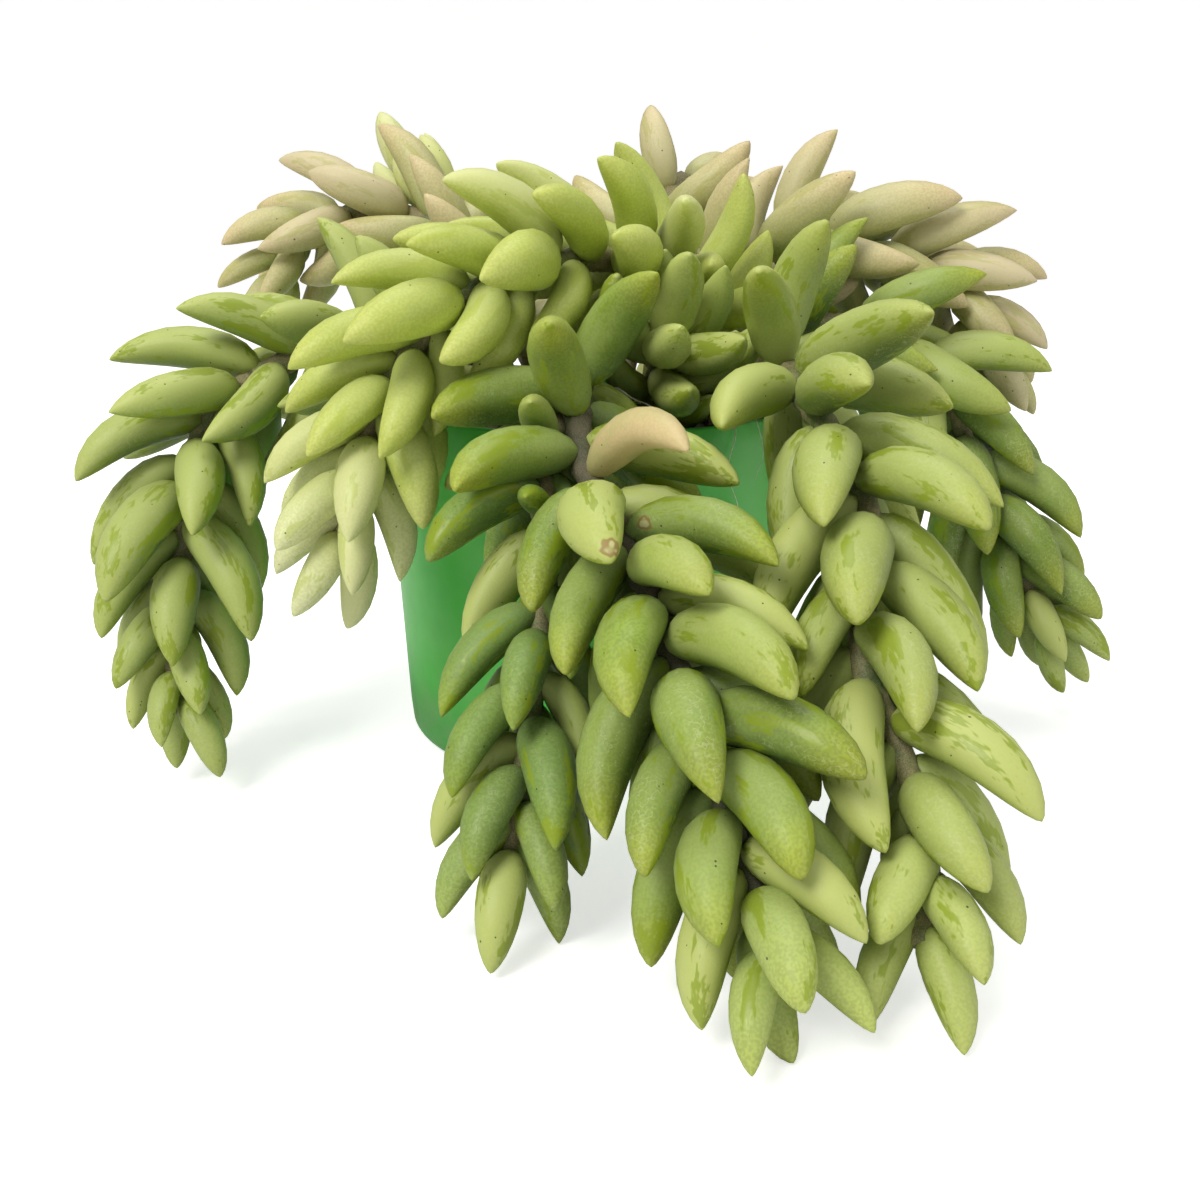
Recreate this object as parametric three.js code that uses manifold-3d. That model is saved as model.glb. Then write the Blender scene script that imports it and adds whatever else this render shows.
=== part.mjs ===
// A burro's tail plant (Sedum morganianum) in a small round nursery pot.
// Units are millimetres, +Z is up, and the origin is the middle of the pot's underside.
// The viewer of the plant's best side stands towards -Y, with +X to the right.

import * as THREE from "three";
import { mergeVertices } from "three/addons/utils/BufferGeometryUtils.js";
import Module from "manifold-3d";

const wasm = await Module();
wasm.setup();

// Driving dimensions
const POT = {
  height: 65,
  rimRadius: 40,
  footRadius: 36.5,
  wall: 1.6,
  floor: 2.2,
  footRound: 3,
  rimRound: 0.5,
  sides: 36,
};
const DRAIN = { count: 4, radius: 3, ring: 23, sides: 8 };
const SOIL = { edge: 61.5, mound: 3.5, gap: 0.3, sides: 30, rings: 3 };
const BARK = { baseRadius: 2.7, tipRadius: 1.5, sides: 4, stepLength: 8 };
const HOLE = { gap: 0.4, sides: 6, depthBelowRoot: 0.4, reach: 24, stepLength: 8 };
const LEAF = { sides: 5, thinness: 0.9, rootSink: 0.35, tipSetback: 2.5 };

// The outline of a leaf: its share of the full half width at shares of its length
const LEAF_OUTLINE = [
  [0, 0],
  [0.9, 0.29],
  [1, 0.66],
  [0, 1],
];

// Stems, each by hand-set points that its middle line passes, from its root in the soil to its tip.
// Leaves start at a share of the length. The "big" leaves are at the old end, the "tip" ones young,
// and "splay" is how many degrees further off the stem the oldest ones stand.
const STEMS = [
  {
    name: "stem_crown",
    color: 0x8ba062,
    points: [
      [9, -12, 48], [10, -17, 60], [11, -23, 70], [12, -29, 77], [13, -34, 80],
    ],
    leaves: 13, big: 22, tip: 19, first: 0.45, turn: 40, splay: 44, seed: 127,
  },
  {
    name: "stem_front",
    color: 0x9db26b,
    points: [
      [1, -4, 48], [0, -10, 63], [-1, -24, 72], [-2, -42, 73], [-1, -58, 63], [7, -76, 51],
      [13, -91, 38], [18, -103, 25], [22, -112, 15], [23, -116, 10],
    ],
    leaves: 44, big: 26, tip: 18, first: 0.29, turn: 350, splay: 52, seed: 14,
  },
  {
    name: "stem_front_right",
    color: 0xa3b673,
    points: [
      [20, -8, 48], [24, -13, 64], [31, -26, 74], [34, -48, 72], [41, -68, 57],
      [38, -83, 41], [42, -92, 31], [45, -100, 20], [43, -106.5, 13.5], [42.5, -110, 10.5],
    ],
    leaves: 42, big: 27, tip: 18, first: 0.12, turn: 130, splay: 30, seed: 26,
  },
  {
    name: "stem_front_low",
    color: 0x8ca468,
    points: [
      [-6, -12, 48], [-5, -20, 64], [-5, -38, 70], [-7, -55, 60], [-7, -70, 45],
      [-8.5, -79, 32], [-10, -86, 20], [-12, -90, 11],
    ],
    leaves: 30, big: 21.5, tip: 18, first: 0.36, turn: 50, splay: 24, seed: 37,
  },
  {
    name: "stem_arch_left",
    color: 0xafbc74,
    points: [
      [23, 6, 48], [23, 3, 70], [17, -6, 88], [3, -22, 92], [-11, -34, 91], [-24, -42, 84],
      [-34, -46, 70], [-38, -49, 56], [-41.5, -50, 48],
    ],
    leaves: 56, big: 23.5, tip: 17, first: 0.16, turn: 0, splay: 38, seed: 41,
  },
  {
    name: "stem_left",
    color: 0x9cb06c,
    points: [
      [-14, -6, 48], [-20, -5, 66], [-35, -3, 74], [-51, -6, 75], [-68, -13, 66],
      [-73, -20, 54], [-74, -26, 37], [-75, -32, 23], [-73, -36, 14],
    ],
    leaves: 40, big: 26, tip: 15, first: 0.18, turn: 260, splay: 24, seed: 53,
  },
  {
    name: "stem_back_left",
    color: 0xb3b086,
    points: [
      [-8, 10, 48], [-12, 14, 70], [-23, 22, 90], [-39, 30, 99], [-54, 35, 98],
      [-65, 34, 90], [-70, 32, 79],
    ],
    leaves: 29, big: 22, tip: 13, first: 0.24, turn: 270, splay: 24, seed: 67,
  },
  {
    name: "stem_back_right",
    color: 0xb5ae88,
    points: [
      [14, 12, 48], [18, 14, 70], [28, 15, 86], [42, 17, 95], [58, 20, 91], [72, 22, 86],
      [80, 22, 75], [83, 22, 65],
    ],
    leaves: 34, big: 24, tip: 16, first: 0.2, turn: 120, splay: 24, seed: 71,
  },
  {
    name: "stem_right",
    color: 0xa0b170,
    points: [
      [24, -2, 48], [30, 1, 66], [42, 4, 78], [56, 5, 76], [69, 4, 66], [76, 3, 48],
      [85, 1, 31], [94, -2, 16],
    ],
    leaves: 37, big: 24, tip: 15, first: 0.18, turn: 210, splay: 24, seed: 83,
  },
  {
    name: "stem_back",
    color: 0xa5b07a,
    points: [
      [4, 14, 48], [7, 20, 72], [13, 30, 94], [18, 42, 105], [21, 53, 102], [21, 62, 89],
      [19, 67, 72], [17, 69, 56],
    ],
    leaves: 25, big: 21, tip: 14, first: 0.3, turn: 120, splay: 32, seed: 97,
  },
  {
    name: "stem_upright",
    color: 0xb9c290,
    points: [
      [-14, 18, 48], [-20, 26, 72], [-29, 36, 90], [-37, 44, 102], [-40, 48, 107],
    ],
    leaves: 16, big: 22, tip: 16, first: 0.35, turn: 10, splay: 24, seed: 101,
  },
  {
    name: "stem_back_side",
    color: 0x9aae6b,
    points: [
      [18, 22, 48], [24, 28, 66], [34, 38, 76], [44, 50, 70], [50, 58, 52], [53, 62, 34],
      [54, 64, 22],
    ],
    leaves: 26, big: 24, tip: 15, first: 0.2, turn: 340, splay: 24, seed: 113,
  },
];

// How leaves stand on a stem: angles in degrees off the stem's direction, sizes as shares
const HABIT = {
  goldenAngle: 137.507764,
  turnScatter: 8,
  spread: 33,
  youngSpread: 16,
  spreadScatter: 6,
  oldShare: 0.45,
  youngStart: 0.6,
  tipCrowding: 0.12,
  sizeScatter: 0.1,
  slimness: 0.385,
  youngSlimness: 0.04,
  bow: 0.115,
  youngBow: 0.03,
  bowScatter: 0.035,
};

// How crowded leaves push each other clear: beads along each leaf, the gap that leaves of two
// stems keep, and the rounds. After each round a leaf that is squeezed by more than its limit
// stays smaller, and after the last one it drops off.
const SETTLING = {
  beadPlaces: [0.14, 0.36, 0.58, 0.78, 0.95],
  beadSizes: [0.3, 0.47, 0.5, 0.41, 0.18],
  reach: 0.95,
  ownShare: 1.06,
  gap: 0.7,
  barkReach: 1.2,
  barkSink: 1,
  barkSpacing: 4,
  turnRate: 1.1,
  turnLimit: 0.16,
  springBack: 0.03,
  rounds: [
    { steps: 30, limit: 1.8 },
    { steps: 20, limit: 1.4 },
    { steps: 20, limit: 1 },
    { steps: 20, limit: 0.8 },
    { steps: 40, limit: 0.75 },
  ],
  stunting: 0.82,
};

const AXIS_STEP = 1;
const CURVE_DIVISIONS = 24;

const radians = THREE.MathUtils.degToRad;

function smooth(share) {
  const t = THREE.MathUtils.clamp(share, 0, 1);
  return t * t * (3 - 2 * t);
}

// Random numbers that come out the same on every run
class Draw {
  constructor(seed) {
    this.state = (seed * 7919 + 12345) >>> 0;
  }

  next() {
    this.state = (Math.imul(this.state, 1664525) + 1013904223) >>> 0;
    return this.state / 4294967296;
  }

  around(reach) {
    return (this.next() * 2 - 1) * reach;
  }
}

// A stem's middle line in even steps, with a frame that doesn't twist along it
class Axis {
  constructor(points) {
    const curve = new THREE.CatmullRomCurve3(
      points.map((point) => new THREE.Vector3(...point)), false, "catmullrom", 0.5,
    );
    const raw = curve.getPoints(CURVE_DIVISIONS * (points.length - 1));
    const reached = [0];
    for (let i = 1; i < raw.length; i += 1) {
      reached.push(reached[i - 1] + raw[i].distanceTo(raw[i - 1]));
    }
    this.length = reached[reached.length - 1];
    const count = Math.ceil(this.length / AXIS_STEP);
    this.step = this.length / count;
    this.points = [];
    let from = 0;
    for (let i = 0; i <= count; i += 1) {
      const distance = i * this.step;
      while (from < raw.length - 2 && reached[from + 1] < distance) from += 1;
      const share = (distance - reached[from]) / (reached[from + 1] - reached[from]);
      this.points.push(raw[from].clone().lerp(raw[from + 1], Math.min(share, 1)));
    }
    this.frame();
  }

  frame() {
    const last = this.points.length - 1;
    const normal = new THREE.Vector3(1, 0, 0);
    this.tangents = [];
    this.normals = [];
    for (let i = 0; i <= last; i += 1) {
      const before = this.points[Math.max(i - 1, 0)];
      const after = this.points[Math.min(i + 1, last)];
      const tangent = after.clone().sub(before).normalize();
      normal.addScaledVector(tangent, -normal.dot(tangent)).normalize();
      this.tangents.push(tangent);
      this.normals.push(normal.clone());
    }
  }

  at(distance) {
    const place = THREE.MathUtils.clamp(distance / this.step, 0, this.points.length - 1.000001);
    const i = Math.floor(place);
    const share = place - i;
    const tangent = this.tangents[i].clone().lerp(this.tangents[i + 1], share).normalize();
    const normal = this.normals[i].clone().lerp(this.normals[i + 1], share);
    normal.addScaledVector(tangent, -normal.dot(tangent)).normalize();
    return {
      point: this.points[i].clone().lerp(this.points[i + 1], share),
      tangent,
      normal,
      side: new THREE.Vector3().crossVectors(tangent, normal),
    };
  }

  radius(distance) {
    return THREE.MathUtils.lerp(BARK.baseRadius, BARK.tipRadius, distance / this.length);
  }
}

// Leaves in a spiral of golden angles, long and spread low down, short and gathered at the tip
function growLeaves(stem, axis) {
  const draw = new Draw(stem.seed);
  const start = stem.first * axis.length;
  const leaves = [];
  for (let i = 0; i < stem.leaves; i += 1) {
    const share = i / (stem.leaves - 1);
    const along = share + HABIT.tipCrowding * share * (1 - share);
    const distance = start + (axis.length - LEAF.tipSetback - start) * along;
    const { point, tangent, normal, side } = axis.at(distance);
    const turn = radians(stem.turn + i * HABIT.goldenAngle + draw.around(HABIT.turnScatter));
    const out = normal.multiplyScalar(Math.cos(turn)).addScaledVector(side, Math.sin(turn));
    const young = smooth((share - HABIT.youngStart) / (1 - HABIT.youngStart));
    const old = 1 - smooth(share / HABIT.oldShare);
    const spread = radians(HABIT.spread + stem.splay * old - HABIT.youngSpread * young
      + draw.around(HABIT.spreadScatter));
    const full = stem.big * (1 + draw.around(HABIT.sizeScatter)) * (1 - young);
    const length = full + stem.tip * (1 + draw.around(HABIT.sizeScatter)) * young;
    const slimness = HABIT.slimness + HABIT.youngSlimness * young;
    const bow = HABIT.bow - HABIT.youngBow * young + draw.around(HABIT.bowScatter);
    const direction = tangent.clone().multiplyScalar(Math.cos(spread));
    direction.addScaledVector(out, Math.sin(spread));
    leaves.push({
      stem,
      root: point.addScaledVector(out, axis.radius(distance) * LEAF.rootSink),
      tangent,
      direction,
      rest: direction.clone(),
      length,
      width: length * slimness,
      bow,
    });
  }
  return leaves;
}

// The side of a leaf that faces away from its stem
function outwardOf(leaf) {
  const along = leaf.tangent.dot(leaf.direction);
  return leaf.direction.clone().multiplyScalar(along).sub(leaf.tangent).normalize();
}

// A leaf's middle line: a curve from its root, bowed outwards, to its tip
function middleLine(leaf) {
  const bend = leaf.root.clone().addScaledVector(leaf.direction, leaf.length / 2);
  bend.addScaledVector(outwardOf(leaf), 2 * leaf.bow * leaf.length);
  const tip = leaf.root.clone().addScaledVector(leaf.direction, leaf.length);
  return new THREE.QuadraticBezierCurve3(leaf.root, bend, tip);
}

function soilHeight(radius) {
  const share = Math.min(radius / soilRadius(SOIL.edge), 1);
  return SOIL.edge + SOIL.mound * (1 - share * share);
}

function potRadius(height) {
  return THREE.MathUtils.lerp(POT.footRadius, POT.rimRadius, height / POT.height);
}

function soilRadius(height) {
  return potRadius(height) - POT.wall - SOIL.gap;
}

// How far a bead stands into the pot's wall, the soil or the floor, as a push out of it
function pushFromPot(bead, radius, push) {
  const around = Math.hypot(bead.x, bead.y);
  const foot = new THREE.Vector2(POT.footRadius - POT.wall / 2, 0);
  const rim = new THREE.Vector2(POT.rimRadius - POT.wall / 2, POT.height);
  const wall = rim.clone().sub(foot);
  const here = new THREE.Vector2(around, bead.z);
  const share = here.clone().sub(foot).dot(wall) / wall.lengthSq();
  const near = foot.addScaledVector(wall, THREE.MathUtils.clamp(share, 0, 1));
  const away = here.sub(near);
  const wallDepth = Math.max(radius + POT.wall / 2 + SETTLING.gap - away.length(), 0);
  away.setLength(wallDepth);
  push.x += (away.x * bead.x) / around;
  push.y += (away.x * bead.y) / around;
  push.z += away.y;
  const overSoil = around < POT.rimRadius && bead.z > POT.height / 2;
  const soilDepth = overSoil ? Math.max(soilHeight(around) + radius + SETTLING.gap - bead.z, 0) : 0;
  const floorDepth = Math.max(radius + SETTLING.gap / 2 - bead.z, 0);
  push.z += soilDepth + floorDepth;
  return Math.max(wallDepth, soilDepth, floorDepth);
}

// Beads on the stems' own bark, which leaves of other stems keep clear of
function barkBeads(plants) {
  const beads = [];
  for (const { stem, axis } of plants) {
    for (let d = SETTLING.barkSpacing / 2; d < axis.length; d += SETTLING.barkSpacing) {
      beads.push({ stem, place: axis.at(d).point, radius: axis.radius(d) });
    }
  }
  return beads;
}

// Adds to push the way that keeps a bead a wanted distance from another, and returns the depth
function pushApart(bead, other, wanted, share, push) {
  const x = bead.x - other.x;
  const y = bead.y - other.y;
  const z = bead.z - other.z;
  const apart = Math.sqrt(x * x + y * y + z * z);
  const depth = wanted - apart;
  if (depth <= 0) return 0;
  const scale = (share * depth) / apart;
  push.x += x * scale;
  push.y += y * scale;
  push.z += z * scale;
  return depth;
}

// One step: finds all pushes, then turns each leaf about its root by what its beads feel
function settleOnce(leaves, pairs, barkPairs) {
  const beads = leaves.map((leaf) => {
    const line = middleLine(leaf);
    return SETTLING.beadPlaces.map((share) => line.getPoint(share));
  });
  const pushes = beads.map((row) => row.map(() => new THREE.Vector3()));
  leaves.forEach((leaf) => { leaf.squeeze = 0; });
  for (const [a, b] of pairs) {
    const own = leaves[a].stem === leaves[b].stem;
    for (let i = 0; i < beads[a].length; i += 1) {
      for (let j = 0; j < beads[b].length; j += 1) {
        const sizes = leaves[a].width * SETTLING.beadSizes[i] + leaves[b].width * SETTLING.beadSizes[j];
        const wanted = own ? sizes * SETTLING.ownShare : sizes + SETTLING.gap;
        const depth = pushApart(beads[a][i], beads[b][j], wanted, 0.5, pushes[a][i]);
        if (depth > 0) {
          pushApart(beads[b][j], beads[a][i], wanted, 0.5, pushes[b][j]);
          if (!own) leaves[b].squeeze = Math.max(leaves[b].squeeze, depth);
        }
      }
    }
  }
  for (const [a, bark] of barkPairs) {
    const own = leaves[a].stem === bark.stem;
    const clearance = own ? -SETTLING.barkSink : SETTLING.gap;
    for (let i = 0; i < beads[a].length; i += 1) {
      const wanted = leaves[a].width * SETTLING.beadSizes[i] + bark.radius + clearance;
      const share = own && i === 0 ? 0 : 1;
      const depth = pushApart(beads[a][i], bark.place, wanted, share, pushes[a][i]);
      if (!own) leaves[a].squeeze = Math.max(leaves[a].squeeze, depth);
    }
  }
  leaves.forEach((leaf, k) => {
    const turn = new THREE.Vector3();
    SETTLING.beadPlaces.forEach((place, i) => {
      const radius = leaf.width * SETTLING.beadSizes[i];
      const depth = pushFromPot(beads[k][i], radius, pushes[k][i]);
      leaf.squeeze = Math.max(leaf.squeeze, depth);
      turn.addScaledVector(pushes[k][i], (place * SETTLING.turnRate) / leaf.length);
    });
    turn.clampLength(0, SETTLING.turnLimit);
    turn.addScaledVector(leaf.rest, SETTLING.springBack);
    leaf.direction.multiplyScalar(1 - SETTLING.springBack).add(turn).normalize();
  });
}

function closePairs(leaves) {
  const pairs = [];
  for (let a = 0; a < leaves.length; a += 1) {
    for (let b = a + 1; b < leaves.length; b += 1) {
      const reach = (leaves[a].length + leaves[b].length) * SETTLING.reach;
      if (leaves[a].root.distanceTo(leaves[b].root) < reach) pairs.push([a, b]);
    }
  }
  return pairs;
}

function closeBark(leaves, bark) {
  const pairs = [];
  leaves.forEach((leaf, a) => {
    for (const bead of bark) {
      const reach = leaf.length * SETTLING.barkReach + bead.radius;
      if (leaf.root.distanceTo(bead.place) < reach) pairs.push([a, bead]);
    }
  });
  return pairs;
}

// Lets the leaves of all stems push each other, the bark, the pot and the floor clear
function settleLeaves(plants) {
  let leaves = plants.flatMap((plant) => plant.leaves);
  const bark = barkBeads(plants);
  SETTLING.rounds.forEach(({ steps, limit }, round) => {
    const pairs = closePairs(leaves);
    const barkPairs = closeBark(leaves, bark);
    for (let step = 0; step < steps; step += 1) settleOnce(leaves, pairs, barkPairs);
    if (round === SETTLING.rounds.length - 1) leaves = leaves.filter((leaf) => leaf.squeeze < limit);
    for (const leaf of leaves.filter(({ squeeze }) => squeeze > limit)) {
      leaf.length *= SETTLING.stunting;
      leaf.width *= SETTLING.stunting;
    }
  });
  for (const plant of plants) plant.leaves = leaves.filter((leaf) => leaf.stem === plant.stem);
}

// Geometry and solids
function toSolid(geometry) {
  const bare = geometry.clone();
  bare.deleteAttribute("normal");
  bare.deleteAttribute("uv");
  const merged = mergeVertices(bare, 1e-5);
  const triVerts = [];
  const index = merged.index.array;
  for (let i = 0; i < index.length; i += 3) {
    const [a, b, c] = [index[i], index[i + 1], index[i + 2]];
    if (a !== b && b !== c && c !== a) triVerts.push(a, b, c);
  }
  return new wasm.Manifold(new wasm.Mesh({
    numProp: 3,
    vertProperties: new Float32Array(merged.attributes.position.array),
    triVerts: new Uint32Array(triVerts),
  }));
}

// The outer skin of a solid: the closed shell of the largest volume, with hollows sealed inside
// it filled and loose scraps dropped
function outerSkin(solid) {
  const mesh = solid.getMesh();
  const positions = new THREE.BufferAttribute(new Float32Array(mesh.vertProperties), 3);
  const group = Array.from({ length: positions.count }, (_, i) => i);
  const find = (i) => {
    let top = i;
    while (group[top] !== top) {
      group[top] = group[group[top]];
      top = group[top];
    }
    return top;
  };
  const index = mesh.triVerts;
  for (let i = 0; i < index.length; i += 3) {
    group[find(index[i + 1])] = find(index[i]);
    group[find(index[i + 2])] = find(index[i]);
  }
  const volumes = new Map();
  const corners = [0, 1, 2].map(() => new THREE.Vector3());
  for (let i = 0; i < index.length; i += 3) {
    corners.forEach((corner, k) => corner.fromBufferAttribute(positions, index[i + k]));
    const part = corners[0].dot(corners[1].cross(corners[2])) / 6;
    const shell = find(index[i]);
    volumes.set(shell, (volumes.get(shell) ?? 0) + part);
  }
  const largest = [...volumes.entries()].sort((a, b) => b[1] - a[1])[0][0];
  const kept = [];
  for (let i = 0; i < index.length; i += 3) {
    if (find(index[i]) === largest) kept.push(index[i], index[i + 1], index[i + 2]);
  }
  const geometry = new THREE.BufferGeometry();
  geometry.setAttribute("position", positions);
  geometry.setIndex(kept);
  const flat = geometry.toNonIndexed();
  flat.computeVertexNormals();
  return flat;
}

function lathe(profile, sides) {
  const points = profile.map(([radius, height]) => new THREE.Vector2(radius, height));
  return new THREE.LatheGeometry(points, sides).rotateX(Math.PI / 2);
}

// A tube of even section along an axis, then drawn in to the radius wanted at each step
function tube(axis, from, to, stepLength, sides, radiusAt) {
  const steps = Math.max(Math.round((to - from) / stepLength), 2);
  const places = Array.from({ length: steps + 1 }, (_, i) => from + ((to - from) * i) / steps);
  const path = new THREE.CatmullRomCurve3(places.map((place) => axis.at(place).point));
  const section = new THREE.Shape();
  for (let i = 0; i < sides; i += 1) {
    const turn = (2 * Math.PI * i) / sides;
    section[i === 0 ? "moveTo" : "lineTo"](Math.cos(turn), Math.sin(turn));
  }
  section.closePath();
  const geometry = new THREE.ExtrudeGeometry(section, { steps, extrudePath: path });
  const middles = path.getSpacedPoints(steps);
  const position = geometry.attributes.position;
  const corner = new THREE.Vector3();
  for (let i = 0; i < position.count; i += 1) {
    corner.fromBufferAttribute(position, i);
    const distances = middles.map((middle) => Math.abs(middle.distanceTo(corner) - 1));
    const nearest = distances.indexOf(Math.min(...distances));
    corner.sub(middles[nearest]).setLength(radiusAt(places[nearest])).add(middles[nearest]);
    position.setXYZ(i, corner.x, corner.y, corner.z);
  }
  return geometry;
}

function leafGeometry(leaf) {
  const points = LEAF_OUTLINE.map(([width, share]) => new THREE.Vector2(width, share));
  const geometry = new THREE.LatheGeometry(points, LEAF.sides);
  const line = middleLine(leaf);
  const across = new THREE.Vector3().crossVectors(leaf.direction, outwardOf(leaf)).normalize();
  const position = geometry.attributes.position;
  for (let i = 0; i < position.count; i += 1) {
    const share = position.getY(i);
    const middle = line.getPoint(share);
    const upwards = new THREE.Vector3().crossVectors(across, line.getTangent(share));
    middle.addScaledVector(across, (position.getX(i) * leaf.width) / 2);
    middle.addScaledVector(upwards, (position.getZ(i) * leaf.width * LEAF.thinness) / 2);
    position.setXYZ(i, middle.x, middle.y, middle.z);
  }
  return geometry;
}

// Parts of the pot and the plant
function potGeometry() {
  const { height, rimRadius, footRadius, wall, floor, footRound, rimRound, sides } = POT;
  const arc = (x, y, radius, from, to, count) => Array.from({ length: count + 1 }, (_, i) => {
    const turn = radians(from + ((to - from) * i) / count);
    return [x + radius * Math.cos(turn), y + radius * Math.sin(turn)];
  });
  const innerFoot = potRadius(floor) - wall;
  const body = toSolid(lathe([
    [0, 0],
    ...arc(footRadius - footRound, footRound, footRound, -90, 0, 3),
    ...arc(rimRadius - rimRound, height - rimRound, rimRound, 0, 90, 1),
    ...arc(rimRadius - wall + rimRound, height - rimRound, rimRound, 90, 180, 1),
    [innerFoot, floor],
    [0, floor],
  ], sides));
  let pot = body;
  for (let i = 0; i < DRAIN.count; i += 1) {
    const turn = radians(45 + (360 * i) / DRAIN.count);
    const drain = new THREE.CylinderGeometry(DRAIN.radius, DRAIN.radius, 3 * floor, DRAIN.sides);
    drain.rotateX(Math.PI / 2);
    drain.translate(DRAIN.ring * Math.cos(turn), DRAIN.ring * Math.sin(turn), floor / 2);
    pot = pot.subtract(toSolid(drain));
  }
  return outerSkin(pot);
}

function soilGeometry(plants) {
  const bottom = POT.floor + SOIL.gap;
  const top = Array.from({ length: SOIL.rings + 1 }, (_, i) => {
    const radius = soilRadius(SOIL.edge) * (1 - i / SOIL.rings);
    return [radius, soilHeight(radius)];
  });
  const profile = [[0, bottom], [soilRadius(bottom), bottom], ...top];
  let soil = toSolid(lathe(profile, SOIL.sides));
  for (const { axis } of plants) {
    const clear = (distance) => (axis.radius(distance) + HOLE.gap) / Math.cos(Math.PI / HOLE.sides);
    soil = soil.subtract(toSolid(tube(axis, 0, HOLE.reach, HOLE.stepLength, HOLE.sides, clear)));
  }
  return outerSkin(soil);
}

function stemGeometry({ axis, leaves }) {
  const from = HOLE.depthBelowRoot;
  const bark = tube(axis, from, axis.length, BARK.stepLength, BARK.sides, (d) => axis.radius(d));
  let solid = toSolid(bark);
  for (const leaf of leaves) solid = solid.add(toSolid(leafGeometry(leaf)));
  return outerSkin(solid);
}

function addMesh(name, geometry, color, roughness) {
  const material = new THREE.MeshStandardMaterial({ color, roughness, metalness: 0 });
  const mesh = new THREE.Mesh(geometry, material);
  mesh.name = name;
  group.add(mesh);
}

const plants = STEMS.map((stem) => {
  const axis = new Axis(stem.points);
  return { stem, axis, leaves: growLeaves(stem, axis) };
});
settleLeaves(plants);

const group = new THREE.Group();
group.name = "potted_burros_tail";
addMesh("pot", potGeometry(), 0x3fae55, 0.35);
addMesh("soil", soilGeometry(plants), 0x6d6257, 0.95);
for (const plant of plants) {
  addMesh(plant.stem.name, stemGeometry(plant), plant.stem.color, 0.6);
}

export default group;
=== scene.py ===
import logging
import math
from collections.abc import Sequence
from dataclasses import dataclass, field, fields, replace
from enum import Enum, IntEnum

import bpy
import numpy as np
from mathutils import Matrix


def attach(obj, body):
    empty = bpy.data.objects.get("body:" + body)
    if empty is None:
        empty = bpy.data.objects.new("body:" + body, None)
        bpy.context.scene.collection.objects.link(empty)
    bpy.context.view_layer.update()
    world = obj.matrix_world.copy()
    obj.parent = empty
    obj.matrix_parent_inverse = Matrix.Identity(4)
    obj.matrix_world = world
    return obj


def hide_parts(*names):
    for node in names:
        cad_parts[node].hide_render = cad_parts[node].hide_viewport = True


# A burro's tail plant in a small green nursery pot, in metres, with +Z up.
# The stems' routes and the leaves' rule are the same as in the part's source, in millimetres, so
# each finer leaf grows where its plain one does. The viewer stands towards -Y.

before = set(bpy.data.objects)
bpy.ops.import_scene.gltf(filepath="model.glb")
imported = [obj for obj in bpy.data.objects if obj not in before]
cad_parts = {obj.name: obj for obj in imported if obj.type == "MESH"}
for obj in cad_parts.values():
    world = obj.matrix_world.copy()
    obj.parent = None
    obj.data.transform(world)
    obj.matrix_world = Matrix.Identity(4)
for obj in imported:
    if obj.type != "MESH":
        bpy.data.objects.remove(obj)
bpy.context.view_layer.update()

LOG = logging.getLogger("burros_tail")
MM = 0.001
TINY = 1e-12
BODY = "root"
LUMP_RINGS = 3
LUMP_COLUMNS = 6
LUMP_LEAST = 0.6
SCAR_SPACING = 1000.0

Color = tuple[float, float, float]
Point = tuple[float, float, float]


class Tone(Enum):
    """The leaf colours of this plant, each named as the record's material slot."""

    FRESH = "leaf_fresh"
    DEEP = "leaf_deep"
    PALE = "leaf_pale"
    BLUSH = "leaf_blush"


class Bark(Enum):
    """The barks of this plant, by their age."""

    TAN = "young tan bark"
    GREY = "old grey bark"


@dataclass(frozen=True)
class StemPlan:
    """One leafy stem: the points its middle line passes, in mm, and how its leaves run.

    Leaves start at a share of the length. The big leaves are at the old end, the tip ones young,
    and splay is how many degrees further off the stem the oldest ones stand. Leaves are counted
    from the old end: tanned ones are burnt pinkish tan by the sun, and a scar is a leaf's count
    and the scar's place on it, across, along and outwards. Sunned is how far the oldest and the
    youngest leaves are bleached, most on the side that faces the light, so partly painted light.
    Threads are dry roots, each by the points that it passes.
    """

    name: str
    tone: Tone
    points: tuple[Point, ...]
    leaves: int
    big: float
    tip: float
    first: float
    turn: float
    splay: float
    seed: int
    tanned: tuple[int, ...] = ()
    scars: tuple[tuple[int, Point], ...] = ()
    sunned: tuple[float, float] = (0.0, 0.0)
    threads: tuple[tuple[Point, ...], ...] = ()
    bark: Bark = Bark.TAN


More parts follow.
